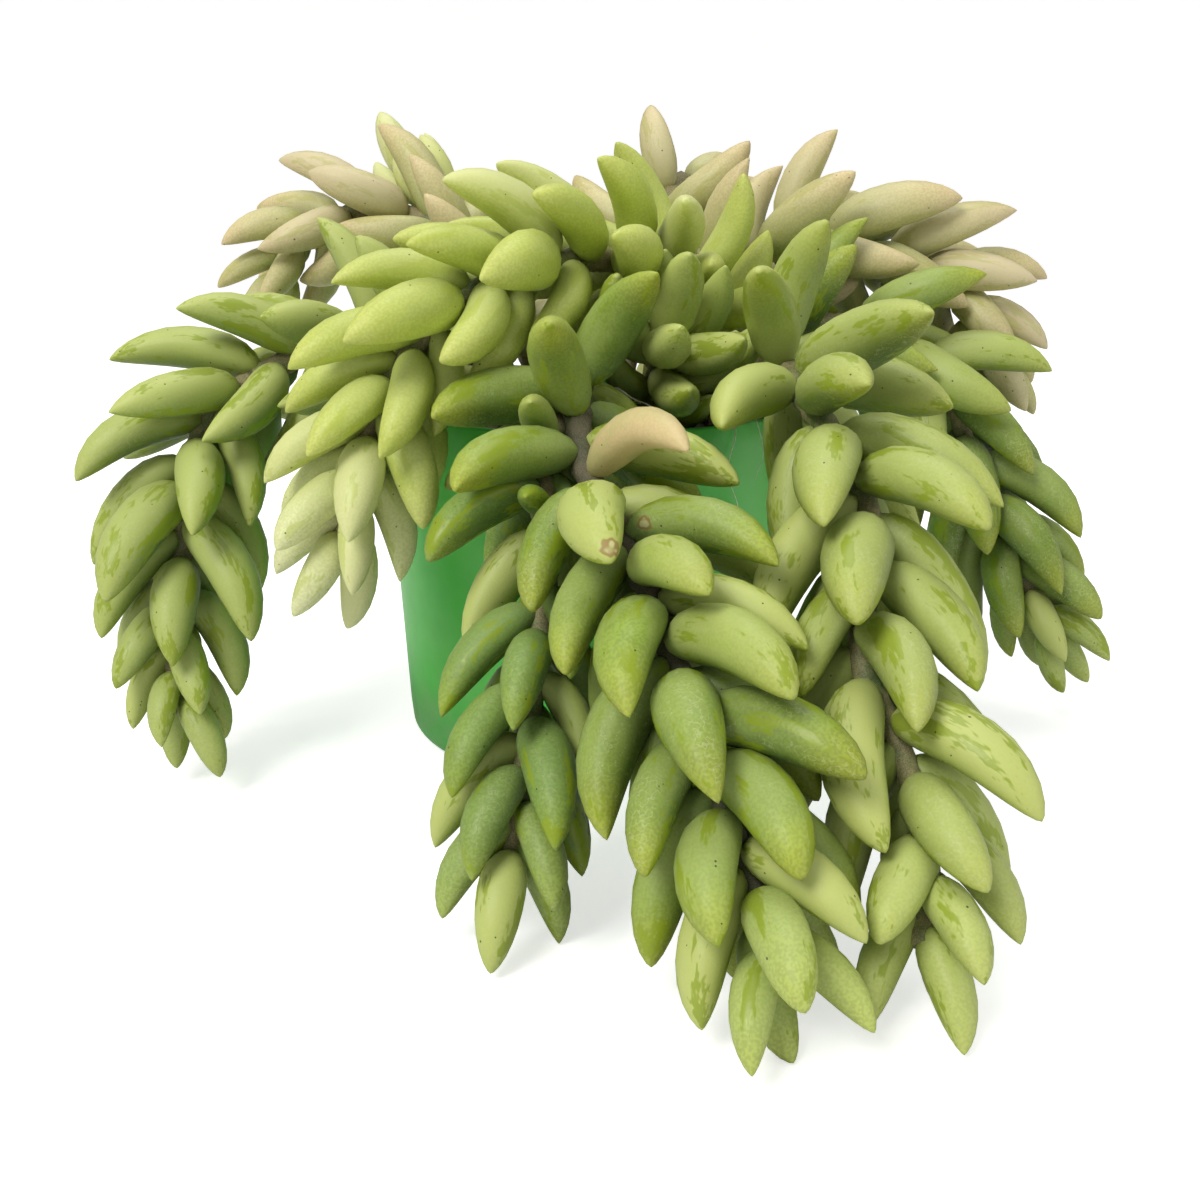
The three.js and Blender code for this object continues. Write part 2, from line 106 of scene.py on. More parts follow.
STEMS = (
    StemPlan(
        "stem_crown", Tone.DEEP,
        ((9, -12, 48), (10, -17, 60), (11, -23, 70), (12, -29, 77), (13, -34, 80)),
        leaves=13, big=22, tip=19, first=0.45, turn=40, splay=44, seed=127,
        sunned=(0.9, 0.9),
    ),
    StemPlan(
        "stem_front", Tone.FRESH,
        ((1, -4, 48), (0, -10, 63), (-1, -24, 72), (-2, -42, 73), (-1, -58, 63),
         (7, -76, 51), (13, -91, 38), (18, -103, 25), (22, -112, 15), (23, -116, 10)),
        leaves=44, big=26, tip=18, first=0.29, turn=350, splay=52, seed=14,
        tanned=(11,), scars=((16, (3.85, 4.4, -1.1)), (14, (-0.8, 25.2, 0.6))), bark=Bark.GREY,
        threads=(
            ((3, -31, 71.5), (9, -35.5, 69), (15, -38.2, 64), (16.5, -37.6, 58), (15, -37.8, 52), (18, -37, 46)),
        ),
    ),
    StemPlan(
        "stem_front_right", Tone.FRESH,
        ((20, -8, 48), (24, -13, 64), (31, -26, 74), (34, -48, 72), (41, -68, 57),
         (38, -83, 41), (42, -92, 31), (45, -100, 20), (43, -106.5, 13.5), (42.5, -110, 10.5)),
        leaves=42, big=27, tip=18, first=0.12, turn=130, splay=30, seed=26, sunned=(0.6, 0.5),
        threads=(
            ((24, -13, 64.5), (21, -22, 67), (23, -30, 67.2), (24.6, -32.4, 63), (23.2, -33.4, 57),
             (25.4, -32.2, 51), (24.4, -32.6, 46), (27, -30.8, 43)),
            ((26, -15, 66), (29, -22, 67.4), (28, -29.6, 66.8), (29.8, -28.6, 60), (28.6, -29.2, 55)),
        ),
    ),
    StemPlan(
        "stem_front_low", Tone.DEEP,
        ((-6, -12, 48), (-5, -20, 64), (-5, -38, 70), (-7, -55, 60), (-7, -70, 45),
         (-8.5, -79, 32), (-10, -86, 20), (-12, -90, 11)),
        leaves=30, big=21.5, tip=18, first=0.36, turn=50, splay=24, seed=37,
    ),
    StemPlan(
        "stem_arch_left", Tone.PALE,
        ((23, 6, 48), (23, 3, 70), (17, -6, 88), (3, -22, 92), (-11, -34, 91),
         (-24, -42, 84), (-34, -46, 70), (-38, -49, 56), (-41.5, -50, 48)),
        leaves=56, big=23.5, tip=17, first=0.16, turn=0, splay=38, seed=41,
    ),
    StemPlan(
        "stem_left", Tone.DEEP,
        ((-14, -6, 48), (-20, -5, 66), (-35, -3, 74), (-51, -6, 75), (-68, -13, 66),
         (-73, -20, 54), (-74, -26, 37), (-75, -32, 23), (-73, -36, 14)),
        leaves=40, big=26, tip=15, first=0.18, turn=260, splay=24, seed=53, sunned=(1.0, 0.5),
    ),
    StemPlan(
        "stem_back_left", Tone.BLUSH,
        ((-8, 10, 48), (-12, 14, 70), (-23, 22, 90), (-39, 30, 99), (-54, 35, 98),
         (-65, 34, 90), (-70, 32, 79)),
        leaves=29, big=22, tip=13, first=0.24, turn=270, splay=24, seed=67,
    ),
    StemPlan(
        "stem_back_right", Tone.BLUSH,
        ((14, 12, 48), (18, 14, 70), (28, 15, 86), (42, 17, 95), (58, 20, 91),
         (72, 22, 86), (80, 22, 75), (83, 22, 65)),
        leaves=34, big=24, tip=16, first=0.2, turn=120, splay=24, seed=71,
    ),
    StemPlan(
        "stem_right", Tone.FRESH,
        ((24, -2, 48), (30, 1, 66), (42, 4, 78), (56, 5, 76), (69, 4, 66),
         (76, 3, 48), (85, 1, 31), (94, -2, 16)),
        leaves=37, big=24, tip=15, first=0.18, turn=210, splay=24, seed=83,
    ),
    StemPlan(
        "stem_back", Tone.BLUSH,
        ((4, 14, 48), (7, 20, 72), (13, 30, 94), (18, 42, 105), (21, 53, 102),
         (21, 62, 89), (19, 67, 72), (17, 69, 56)),
        leaves=25, big=21, tip=14, first=0.3, turn=120, splay=32, seed=97,
    ),
    StemPlan(
        "stem_upright", Tone.PALE,
        ((-14, 18, 48), (-20, 26, 72), (-29, 36, 90), (-37, 44, 102), (-40, 48, 107)),
        leaves=16, big=22, tip=16, first=0.35, turn=10, splay=24, seed=101, sunned=(0.8, 0.8),
    ),
    StemPlan(
        "stem_back_side", Tone.DEEP,
        ((18, 22, 48), (24, 28, 66), (34, 38, 76), (44, 50, 70), (50, 58, 52),
         (53, 62, 34), (54, 64, 22)),
        leaves=26, big=24, tip=15, first=0.2, turn=340, splay=24, seed=113,
    ),
)


@dataclass(frozen=True)
class PotShape:
    """Sizes of the pot and its soil, in mm."""

    height: float = 65.0
    rim_radius: float = 40.0
    foot_radius: float = 36.5
    wall: float = 1.6
    floor: float = 2.2
    foot_round: float = 3.0
    rim_round: float = 0.5
    drain_count: int = 4
    drain_radius: float = 3.0
    drain_ring: float = 23.0
    soil_edge: float = 61.5
    soil_mound: float = 3.5
    soil_gap: float = 0.3

    def radius(self, height: np.ndarray | float) -> np.ndarray | float:
        """Returns the pot's outer radius at a height."""
        return self.foot_radius + (self.rim_radius - self.foot_radius) * height / self.height

    def soil_radius(self, height: float) -> float:
        """Returns the soil's radius at a height."""
        return self.radius(height) - self.wall - self.soil_gap

    def soil_height(self, radius: np.ndarray) -> np.ndarray:
        """Returns the height of the soil's mound at distances from the middle."""
        share = np.minimum(radius / self.soil_radius(self.soil_edge), 1.0)
        return self.soil_edge + self.soil_mound * (1.0 - share * share)


@dataclass(frozen=True)
class Habit:
    """How leaves stand on a stem: angles in degrees off the stem's direction, sizes as shares."""

    golden_angle: float = 137.507764
    turn_scatter: float = 8.0
    spread: float = 33.0
    young_spread: float = 16.0
    spread_scatter: float = 6.0
    old_share: float = 0.45
    young_start: float = 0.6
    tip_crowding: float = 0.12
    size_scatter: float = 0.1
    slimness: float = 0.385
    young_slimness: float = 0.04
    bow: float = 0.115
    young_bow: float = 0.03
    bow_scatter: float = 0.035
    root_sink: float = 0.35
    tip_setback: float = 2.5


@dataclass(frozen=True)
class Settling:
    """How crowded leaves push each other clear, with beads along each leaf.

    Each round has its steps and a limit, in mm: a leaf squeezed by more stays smaller, and after
    the last round it drops off.
    """

    bead_places: tuple[float, ...] = (0.14, 0.36, 0.58, 0.78, 0.95)
    bead_sizes: tuple[float, ...] = (0.3, 0.47, 0.5, 0.41, 0.18)
    reach: float = 0.95
    own_share: float = 1.06
    gap: float = 0.7
    bark_reach: float = 1.2
    bark_sink: float = 1.0
    bark_spacing: float = 4.0
    turn_rate: float = 1.1
    turn_limit: float = 0.16
    spring_back: float = 0.03
    rounds: tuple[tuple[int, float], ...] = ((30, 1.8), (20, 1.4), (20, 1.0), (20, 0.8), (40, 0.75))
    stunting: float = 0.82


class Draw:
    """Random numbers that come out the same on every run, by a linear congruence."""

    SPAN = 1 << 32
    FACTOR = 1664525
    STEP = 1013904223
    SEED_FACTOR = 7919
    SEED_STEP = 12345

    def __init__(self, seed: int) -> None:
        """Starts the row of numbers from a seed."""
        self.state = (seed * self.SEED_FACTOR + self.SEED_STEP) % self.SPAN

    def next(self) -> float:
        """Returns the next number from 0 to 1."""
        self.state = (self.state * self.FACTOR + self.STEP) % self.SPAN
        return self.state / self.SPAN

    def around(self, reach: float) -> float:
        """Returns a number from -reach to reach."""
        return (self.next() * 2.0 - 1.0) * reach


def unit(rows: np.ndarray) -> np.ndarray:
    """Returns each row of vectors at length one."""
    return rows / np.maximum(np.linalg.norm(rows, axis=-1, keepdims=True), TINY)


def smooth(share: np.ndarray | float) -> np.ndarray:
    """Returns the smooth step 3t² - 2t³ of a share held between 0 and 1."""
    t = np.clip(share, 0.0, 1.0)
    return t * t * (3.0 - 2.0 * t)


class Axis:
    """A stem's middle line in even steps, with a frame that doesn't twist along it, in mm."""

    STEP = 1.0
    DIVISIONS = 24
    BASE_RADIUS = 2.7
    TIP_RADIUS = 1.5
    LAST_STEP = 1.000001

    def __init__(self, points: Sequence[Point]) -> None:
        """Runs a smooth curve through the points and cuts it into even steps.

        Between two points the curve is a cubic. At each point it heads from the point before
        towards the point after, at half their distance for each stretch.

        Args:
            points: the points the curve passes, with straight ends.
        """
        knots = np.array(points, dtype=float)
        knots = np.vstack([2 * knots[0] - knots[1], knots, 2 * knots[-1] - knots[-2]])
        t = (np.arange(self.DIVISIONS) / self.DIVISIONS)[None, :, None]
        p0, p1, p2, p3 = (knots[k:len(knots) - 3 + k, None] for k in range(4))
        rows = (2 * t**3 - 3 * t**2 + 1) * p1 + (t**3 - 2 * t**2 + t) * (p2 - p0) * 0.5
        rows = rows + (-2 * t**3 + 3 * t**2) * p2 + (t**3 - t**2) * (p3 - p1) * 0.5
        raw = np.vstack([rows.reshape(-1, 3), knots[-2]])
        reached = np.concatenate([[0.0], np.cumsum(np.linalg.norm(np.diff(raw, axis=0), axis=1))])
        self.length = float(reached[-1])
        count = math.ceil(self.length / self.STEP)
        self.step = self.length / count
        even = np.arange(count + 1) * self.step
        self.points = np.stack([np.interp(even, reached, raw[:, k]) for k in range(3)], axis=1)
        before = self.points[np.maximum(np.arange(count + 1) - 1, 0)]
        after = self.points[np.minimum(np.arange(count + 1) + 1, count)]
        self.tangents = unit(after - before)
        self.normals = np.zeros_like(self.tangents)
        normal = np.array([1.0, 0.0, 0.0])
        for i, tangent in enumerate(self.tangents):
            normal = unit(normal - tangent * (normal @ tangent))
            self.normals[i] = normal

    def at(self, distance: np.ndarray | float) -> tuple[np.ndarray, np.ndarray, np.ndarray, np.ndarray]:
        """Reads the line between its even steps, held just short of its last point.

        Args:
            distance: distances along the line in mm.

        Returns:
            The point, direction, normal and side at each distance.
        """
        place = np.clip(np.asarray(distance, float) / self.step, 0.0, len(self.points) - self.LAST_STEP)
        low = np.floor(place).astype(int)
        share = (place - low)[..., None]
        point = self.points[low] * (1.0 - share) + self.points[low + 1] * share
        tangent = unit(self.tangents[low] * (1.0 - share) + self.tangents[low + 1] * share)
        normal = self.normals[low] * (1.0 - share) + self.normals[low + 1] * share
        normal = unit(normal - tangent * np.sum(normal * tangent, axis=-1, keepdims=True))
        return point, tangent, normal, np.cross(tangent, normal)

    def radius(self, distance: np.ndarray | float) -> np.ndarray | float:
        """Returns the bark's radius at distances along the line."""
        return self.BASE_RADIUS + (self.TIP_RADIUS - self.BASE_RADIUS) * distance / self.length


@dataclass
class LeafRows:
    """Leaves as arrays with one row each, in mm."""

    stem: np.ndarray
    number: np.ndarray
    root: np.ndarray
    tangent: np.ndarray
    direction: np.ndarray
    rest: np.ndarray
    length: np.ndarray
    width: np.ndarray
    bow: np.ndarray
    young: np.ndarray

    def keep(self, mask: np.ndarray) -> "LeafRows":
        """Returns the leaves that a mask or a list of rows names."""
        return LeafRows(*(getattr(self, row.name)[mask] for row in fields(self)))

    @staticmethod
    def joined(parts: Sequence["LeafRows"]) -> "LeafRows":
        """Returns the leaves of several sets as one."""
        return LeafRows(*(
            np.concatenate([getattr(part, row.name) for part in parts]) for row in fields(LeafRows)
        ))

    def outward(self) -> np.ndarray:
        """Returns the side of each leaf that faces away from its stem."""
        along = np.sum(self.tangent * self.direction, axis=1, keepdims=True)
        return unit(self.direction * along - self.tangent)

    def bend(self) -> np.ndarray:
        """Returns the middle control point of each leaf's curve, set outwards by its bow."""
        middle = self.root + self.direction * (self.length / 2)[:, None]
        return middle + self.outward() * (2 * self.bow * self.length)[:, None]

    def tip(self) -> np.ndarray:
        """Returns the tip of each leaf."""
        return self.root + self.direction * self.length[:, None]

    def middle_line(self, share: np.ndarray) -> np.ndarray:
        """Returns points at shares of each leaf's middle line, a quadratic curve from root to tip."""
        u = share[None, :, None]
        return (1 - u) ** 2 * self.root[:, None] + 2 * u * (1 - u) * self.bend()[:, None] + u**2 * self.tip()[:, None]

    def middle_tangent(self, share: np.ndarray) -> np.ndarray:
        """Returns the directions of the middle lines at shares of their length."""
        u, bend = share[None, :, None], self.bend()
        return unit((1 - u) * (bend - self.root)[:, None] + u * (self.tip() - bend)[:, None])


@dataclass(frozen=True)
class BarkBeads:
    """Beads on the stems' bark, in mm: the stem, the place and the radius of each."""

    stem: np.ndarray
    place: np.ndarray
    radius: np.ndarray


@dataclass(frozen=True)
class Contacts:
    """What may meet in one round of settling, and how far apart it should stand, in mm.

    Radius is that of each leaf's beads. First and second are pairs of leaves. Leaf and bark place
    are pairs of a leaf and a bark bead. Own tells which pairs belong to one stem.
    """

    radius: np.ndarray
    first: np.ndarray
    second: np.ndarray
    own: np.ndarray
    apart: np.ndarray
    leaf: np.ndarray
    bark_place: np.ndarray
    own_bark: np.ndarray
    bark_apart: np.ndarray
    bark_share: np.ndarray


@dataclass
class Thicket:
    """All stems' leaves, grown in golden-angle spirals and settled clear of each other."""

    plans: tuple[StemPlan, ...] = STEMS
    habit: Habit = field(default_factory=Habit)
    rule: Settling = field(default_factory=Settling)
    pot: PotShape = field(default_factory=PotShape)

    def __post_init__(self) -> None:
        """Grows every stem and settles the leaves."""
        self.axes = [Axis(plan.points) for plan in self.plans]
        self.leaves = self.settled(LeafRows.joined([self.grown(k) for k in range(len(self.plans))]))

    def of_stem(self, index: int) -> LeafRows:
        """Returns the leaves of one stem."""
        return self.leaves.keep(self.leaves.stem == index)

    def grown(self, index: int) -> LeafRows:
        """Grows one stem's leaves, long and spread low down, short and gathered at the tip.

        Args:
            index: the stem's place in the plans.

        Returns:
            Its leaves before they settle.
        """
        plan, axis, habit = self.plans[index], self.axes[index], self.habit
        draw = Draw(plan.seed)
        draws = np.array([[draw.around(1.0) for _ in range(5)] for _ in range(plan.leaves)])
        number = np.arange(plan.leaves)
        share = number / (plan.leaves - 1)
        start = plan.first * axis.length
        along = share + habit.tip_crowding * share * (1.0 - share)
        distance = start + (axis.length - habit.tip_setback - start) * along
        point, tangent, normal, side = axis.at(distance)
        turn = np.radians(plan.turn + number * habit.golden_angle + draws[:, 0] * habit.turn_scatter)
        out = normal * np.cos(turn)[:, None] + side * np.sin(turn)[:, None]
        young = smooth((share - habit.young_start) / (1.0 - habit.young_start))
        old = 1.0 - smooth(share / habit.old_share)
        spread = np.radians(habit.spread + plan.splay * old - habit.young_spread * young
                            + draws[:, 1] * habit.spread_scatter)
        full = plan.big * (1.0 + draws[:, 2] * habit.size_scatter) * (1.0 - young)
        length = full + plan.tip * (1.0 + draws[:, 3] * habit.size_scatter) * young
        direction = tangent * np.cos(spread)[:, None] + out * np.sin(spread)[:, None]
        return LeafRows(
            stem=np.full(plan.leaves, index),
            number=number,
            root=point + out * (axis.radius(distance) * habit.root_sink)[:, None],
            tangent=tangent,
            direction=direction,
            rest=direction.copy(),
            length=length,
            width=length * (habit.slimness + habit.young_slimness * young),
            bow=habit.bow - habit.young_bow * young + draws[:, 4] * habit.bow_scatter,
            young=young,
        )

    def bark_beads(self) -> BarkBeads:
        """Strings beads on the bark, which other leaves keep clear of.

        Returns:
            The beads of all stems.
        """
        spacing = self.rule.bark_spacing
        places = [np.arange(spacing / 2, axis.length, spacing) for axis in self.axes]
        return BarkBeads(
            np.concatenate([np.full(len(row), k) for k, row in enumerate(places)]),
            np.concatenate([axis.at(row)[0] for axis, row in zip(self.axes, places)]),
            np.concatenate([axis.radius(row) for axis, row in zip(self.axes, places)]),
        )

    def settled(self, leaves: LeafRows) -> LeafRows:
        """Moves crowded leaves apart, round after round, and stunts those still squeezed.

        Args:
            leaves: all leaves as they grew.

        Returns:
            The leaves that stay, clear of each other, the bark, the pot and the floor.
        """
        bark = self.bark_beads()
        for steps, limit in self.rule.rounds:
            meet = self.contacts(leaves, bark)
            for _ in range(steps):
                squeeze = self.eased(leaves, meet)
            shrink = np.where(squeeze > limit, self.rule.stunting, 1.0)
            leaves.length = leaves.length * shrink
            leaves.width = leaves.width * shrink
        return leaves.keep(squeeze < limit)

    def contacts(self, leaves: LeafRows, bark: BarkBeads) -> Contacts:
        """Finds the leaves near enough to meet each other or the bark.

        Args:
            leaves: all leaves at the start of a round.
            bark: the beads on the bark.

        Returns:
            The pairs of the round.
        """
        rule = self.rule
        first, second = np.triu_indices(len(leaves.stem), 1)
        between = np.linalg.norm(leaves.root[first] - leaves.root[second], axis=1)
        near = between < (leaves.length[first] + leaves.length[second]) * rule.reach
        first, second = first[near], second[near]
        to_bark = np.linalg.norm(leaves.root[:, None] - bark.place[None], axis=2)
        leaf, bead = np.nonzero(to_bark < leaves.length[:, None] * rule.bark_reach + bark.radius)
        radius = leaves.width[:, None] * np.array(rule.bead_sizes)
        own = leaves.stem[first] == leaves.stem[second]
        apart = radius[first][:, :, None] + radius[second][:, None, :]
        own_bark = leaves.stem[leaf] == bark.stem[bead]
        bark_apart = radius[leaf] + bark.radius[bead][:, None]
        at_root = own_bark[:, None] & (np.arange(len(rule.bead_places)) == 0)
        return Contacts(
            radius=radius,
            first=first,
            second=second,
            own=own,
            apart=np.where(own[:, None, None], apart * rule.own_share, apart + rule.gap),
            leaf=leaf,
            bark_place=bark.place[bead],
            own_bark=own_bark,
            bark_apart=bark_apart + np.where(own_bark, -rule.bark_sink, rule.gap)[:, None],
            bark_share=np.where(at_root, 0.0, 1.0),
        )

    def eased(self, leaves: LeafRows, meet: Contacts) -> np.ndarray:
        """Turns each leaf a little about its root, by what its beads feel.

        Two beads that are too near push each other half of the way apart, and bark pushes a bead
        all the way. A push turns a leaf the more the nearer the bead is to its tip.

        Args:
            leaves: all leaves, whose directions change in place.
            meet: the pairs of the round.

        Returns:
            How deep each leaf was squeezed by anything but its own stem.
        """
        rule = self.rule
        places = np.array(rule.bead_places)
        beads = leaves.middle_line(places)
        push = np.zeros_like(beads)
        squeeze = np.zeros(len(leaves.stem))
        away = beads[meet.first][:, :, None] - beads[meet.second][:, None, :]
        distance = np.sqrt(np.sum(away**2, axis=-1))
        depth = np.maximum(meet.apart - distance, 0.0)
        force = away * (0.5 * depth / distance)[..., None]
        np.add.at(push, meet.first, force.sum(axis=2))
        np.add.at(push, meet.second, -force.sum(axis=1))
        np.maximum.at(squeeze, meet.second, np.where(meet.own, 0.0, depth.max(axis=(1, 2))))
        away = beads[meet.leaf] - meet.bark_place[:, None]
        distance = np.sqrt(np.sum(away**2, axis=-1))
        depth = np.maximum(meet.bark_apart - distance, 0.0)
        np.add.at(push, meet.leaf, away * (meet.bark_share * depth / distance)[..., None])
        np.maximum.at(squeeze, meet.leaf, np.where(meet.own_bark, 0.0, depth.max(axis=1)))
        squeeze = np.maximum(squeeze, self.push_from_pot(beads, meet.radius, push).max(axis=1))
        turn = np.sum(push * (places * rule.turn_rate)[None, :, None], axis=1)
        turn /= leaves.length[:, None]
        size = np.linalg.norm(turn, axis=1, keepdims=True)
        turn *= np.minimum(size, rule.turn_limit) / np.maximum(size, TINY)
        turn += leaves.rest * rule.spring_back
        leaves.direction = unit(leaves.direction * (1.0 - rule.spring_back) + turn)
        return squeeze

    def push_from_pot(self, beads: np.ndarray, radius: np.ndarray, push: np.ndarray) -> np.ndarray:
        """Adds to push the way out of the pot's wall, the soil and the floor.

        Args:
            beads: places of the beads on each leaf.
            radius: their radii.
            push: the pushes so far, changed in place.

        Returns:
            How deep each bead stood in any of them.
        """
        pot, rule = self.pot, self.rule
        around = np.hypot(beads[..., 0], beads[..., 1])
        height = beads[..., 2]
        foot = np.array([pot.foot_radius - pot.wall / 2, 0.0])
        wall = np.array([pot.rim_radius - pot.wall / 2, pot.height]) - foot
        share = ((around - foot[0]) * wall[0] + (height - foot[1]) * wall[1]) / (wall @ wall)
        share = np.clip(share, 0.0, 1.0)
        away_out = around - (foot[0] + share * wall[0])
        away_up = height - (foot[1] + share * wall[1])
        distance = np.hypot(away_out, away_up)
        wall_depth = np.maximum(radius + pot.wall / 2 + rule.gap - distance, 0.0)
        scale = wall_depth / distance
        push[..., 0] += away_out * scale * beads[..., 0] / around
        push[..., 1] += away_out * scale * beads[..., 1] / around
        push[..., 2] += away_up * scale
        over_soil = (around < pot.rim_radius) & (height > pot.height / 2)
        soil_depth = np.maximum(pot.soil_height(around) + radius + rule.gap - height, 0.0)
        soil_depth = np.where(over_soil, soil_depth, 0.0)
        floor_depth = np.maximum(radius + rule.gap / 2 - height, 0.0)
        push[..., 2] += soil_depth + floor_depth
        return np.maximum(np.maximum(wall_depth, soil_depth), floor_depth)


@dataclass
class Surface:
    """A stretch of mesh: points in mm, faces as rows of point numbers, and marks on the points."""

    points: np.ndarray
    quads: np.ndarray
    triangles: np.ndarray
    marks: dict[str, np.ndarray] = field(default_factory=dict)
    material: int = 0


def ring_faces(rings: int, columns: int, closed: bool = True) -> tuple[np.ndarray, np.ndarray]:
    """Numbers the faces of a form of rings, with a pole at its start and at its end.

    Points are counted ring by ring, then the first pole and the last. A face runs from column i to
    i + 1 on ring j and back on ring j + 1, and the last column meets the first.

    Args:
        rings: number of rings.
        columns: points on each ring.
        closed: whether the last ring closes on a pole too.

    Returns:
        The quads and the triangles.
    """
    here = np.arange(columns)
    beside = (here + 1) % columns
    base = np.arange(rings - 1)[:, None] * columns
    quads = np.stack([base + here, base + beside, base + columns + beside, base + columns + here], axis=-1)
    first, last = rings * columns, rings * columns + 1
    top = (rings - 1) * columns
    start = np.stack([np.full(columns, first), beside, here], axis=-1)
    end = np.stack([np.full(columns, last), top + here, top + beside], axis=-1)
    return quads.reshape(-1, 4), np.concatenate([start, end]) if closed else start


def repeated(faces: np.ndarray, copies: int, points: int) -> np.ndarray:
    """Returns the faces of several copies that have the same count of points."""
    return (faces[None] + (np.arange(copies) * points)[:, None, None]).reshape(-1, faces.shape[1])


def round_steps(columns: int) -> np.ndarray:
    """Returns even angles once round, in radians."""
    return np.arange(columns) * (2 * math.pi / columns)


def turned_rings(profile: np.ndarray, columns: int) -> np.ndarray:
    """Turns a profile about the upright axis.

    A point is (radius cos a, radius sin a, height), with the angle a round the axis and the radius
    and height from the profile.

    Args:
        profile: rows of radius and height.
        columns: steps round the axis.

    Returns:
        The points, ring by ring.
    """
    angle = round_steps(columns)
    radius, height = profile[:, :1], profile[:, 1:]
    rings = [radius * np.cos(angle), radius * np.sin(angle), np.repeat(height, columns, axis=1)]
    return np.stack(rings, axis=-1).reshape(-1, 3)


def add_object(name: str, data: bpy.types.ID) -> bpy.types.Object:
    """Adds an object to the scene.

    Args:
        name: its name.
        data: its mesh, light or camera.

    Returns:
        The object.
    """
    added = bpy.data.objects.new(name, data)
    bpy.context.scene.collection.objects.link(added)
    return added


def build_piece(name: str, surfaces: Sequence[Surface], materials: Sequence[bpy.types.Material]) -> bpy.types.Object:
    """Makes one smooth piece of several surfaces.

    Args:
        name: the piece's name.
        surfaces: its stretches of mesh, in mm.
        materials: its material slots, which the surfaces count.

    Returns:
        The piece, at the origin, with its place in its mesh.
    """
    starts = np.cumsum([0] + [len(surface.points) for surface in surfaces])
    points = np.concatenate([surface.points for surface in surfaces]) * MM
    faces, slots = [], []
    for surface, start in zip(surfaces, starts):
        faces += (surface.quads + start).tolist() + (surface.triangles + start).tolist()
        slots += [surface.material] * (len(surface.quads) + len(surface.triangles))
    mesh = bpy.data.meshes.new(name)
    mesh.from_pydata(points.tolist(), [], faces)
    mesh.polygons.foreach_set("material_index", np.array(slots, dtype=np.int32))
    mesh.polygons.foreach_set("use_smooth", np.ones(len(faces), dtype=bool))
    for mark in sorted({key for surface in surfaces for key in surface.marks}):
        shape = next(surface.marks[mark].shape[1:] for surface in surfaces if mark in surface.marks)
        values = [surface.marks.get(mark, np.zeros((len(surface.points), *shape))) for surface in surfaces]
        layer = mesh.attributes.new(mark, "FLOAT_VECTOR" if shape else "FLOAT", "POINT")
        layer.data.foreach_set("vector" if shape else "value", np.concatenate(values).astype(np.float32).ravel())
    for material in materials:
        mesh.materials.append(material)
    mesh.validate()
    mesh.update()
    return add_object(name, mesh)


def lathe(profile: np.ndarray, columns: int) -> Surface:
    """Turns a profile that starts and ends on the upright axis into a closed surface.

    Args:
        profile: rows of radius and height in mm, from the lower end of the axis outwards and up.
        columns: steps round the axis.

    Returns:
        The closed surface.
    """
    ends = np.array([[0.0, 0.0, profile[0, 1]], [0.0, 0.0, profile[-1, 1]]])
    points = np.concatenate([turned_rings(profile[1:-1], columns), ends])
    return Surface(points, *ring_faces(len(profile) - 2, columns))


def tube(middle: np.ndarray, normal: np.ndarray, side: np.ndarray, radius: np.ndarray,
         columns: int, material: int) -> Surface:
    """Carries a round section along a path.

    A point is the path's point plus radius times (normal cos a + side sin a).

    Args:
        middle: points of the path in mm.
        normal: first cross direction at each point.
        side: second cross direction, the path's direction crossed with the normal.
        radius: the radius at each point and column, or at each point.
        columns: steps round the section.
        material: the material slot.

    Returns:
        The closed surface, with its ends drawn to poles.
    """
    angle = round_steps(columns)
    radius = radius if radius.ndim == 2 else np.repeat(radius[:, None], columns, axis=1)
    across = normal[:, None] * np.cos(angle)[None, :, None] + side[:, None] * np.sin(angle)[None, :, None]
    rings = (middle[:, None] + across * radius[..., None]).reshape(-1, 3)
    quads, triangles = ring_faces(len(middle), columns)
    return Surface(np.concatenate([rings, middle[:1], middle[-1:]]), quads, triangles, material=material)


def lumps(places: np.ndarray, sizes: np.ndarray, seed: int, material: int) -> Surface:
    """Makes small rough lumps, such as crumbs of soil.

    Each is a ball of three rings of six points and two poles, with every radius drawn anew between
    six tenths and all of its size, then turned at random.

    Args:
        places: their middles in mm.
        sizes: their radii.
        seed: the seed of the draws.
        material: the material slot.

    Returns:
        All lumps as one surface.
    """
    draw = np.random.default_rng(seed)
    count = len(places)
    polar = np.arange(LUMP_RINGS + 2) / (LUMP_RINGS + 1) * math.pi
    ball = lathe(np.stack([np.sin(polar), -np.cos(polar)], axis=1), LUMP_COLUMNS)
    size = len(ball.points)
    rough = ball.points[None] * draw.uniform(LUMP_LEAST, 1.0, (count, size, 1)) * sizes[:, None, None]
    first = unit(draw.normal(size=(count, 3)))
    second = unit(np.cross(first, draw.normal(size=(count, 3))))
    turn = np.stack([first, second, np.cross(first, second)], axis=1)
    return Surface(
        (places[:, None] + rough @ turn).reshape(-1, 3),
        repeated(ball.quads, count, size),
        repeated(ball.triangles, count, size),
        {"crumb_chance": np.repeat(draw.random(count), size)},
        material,
    )


Socket = bpy.types.NodeSocket
Value = Socket | float | Color


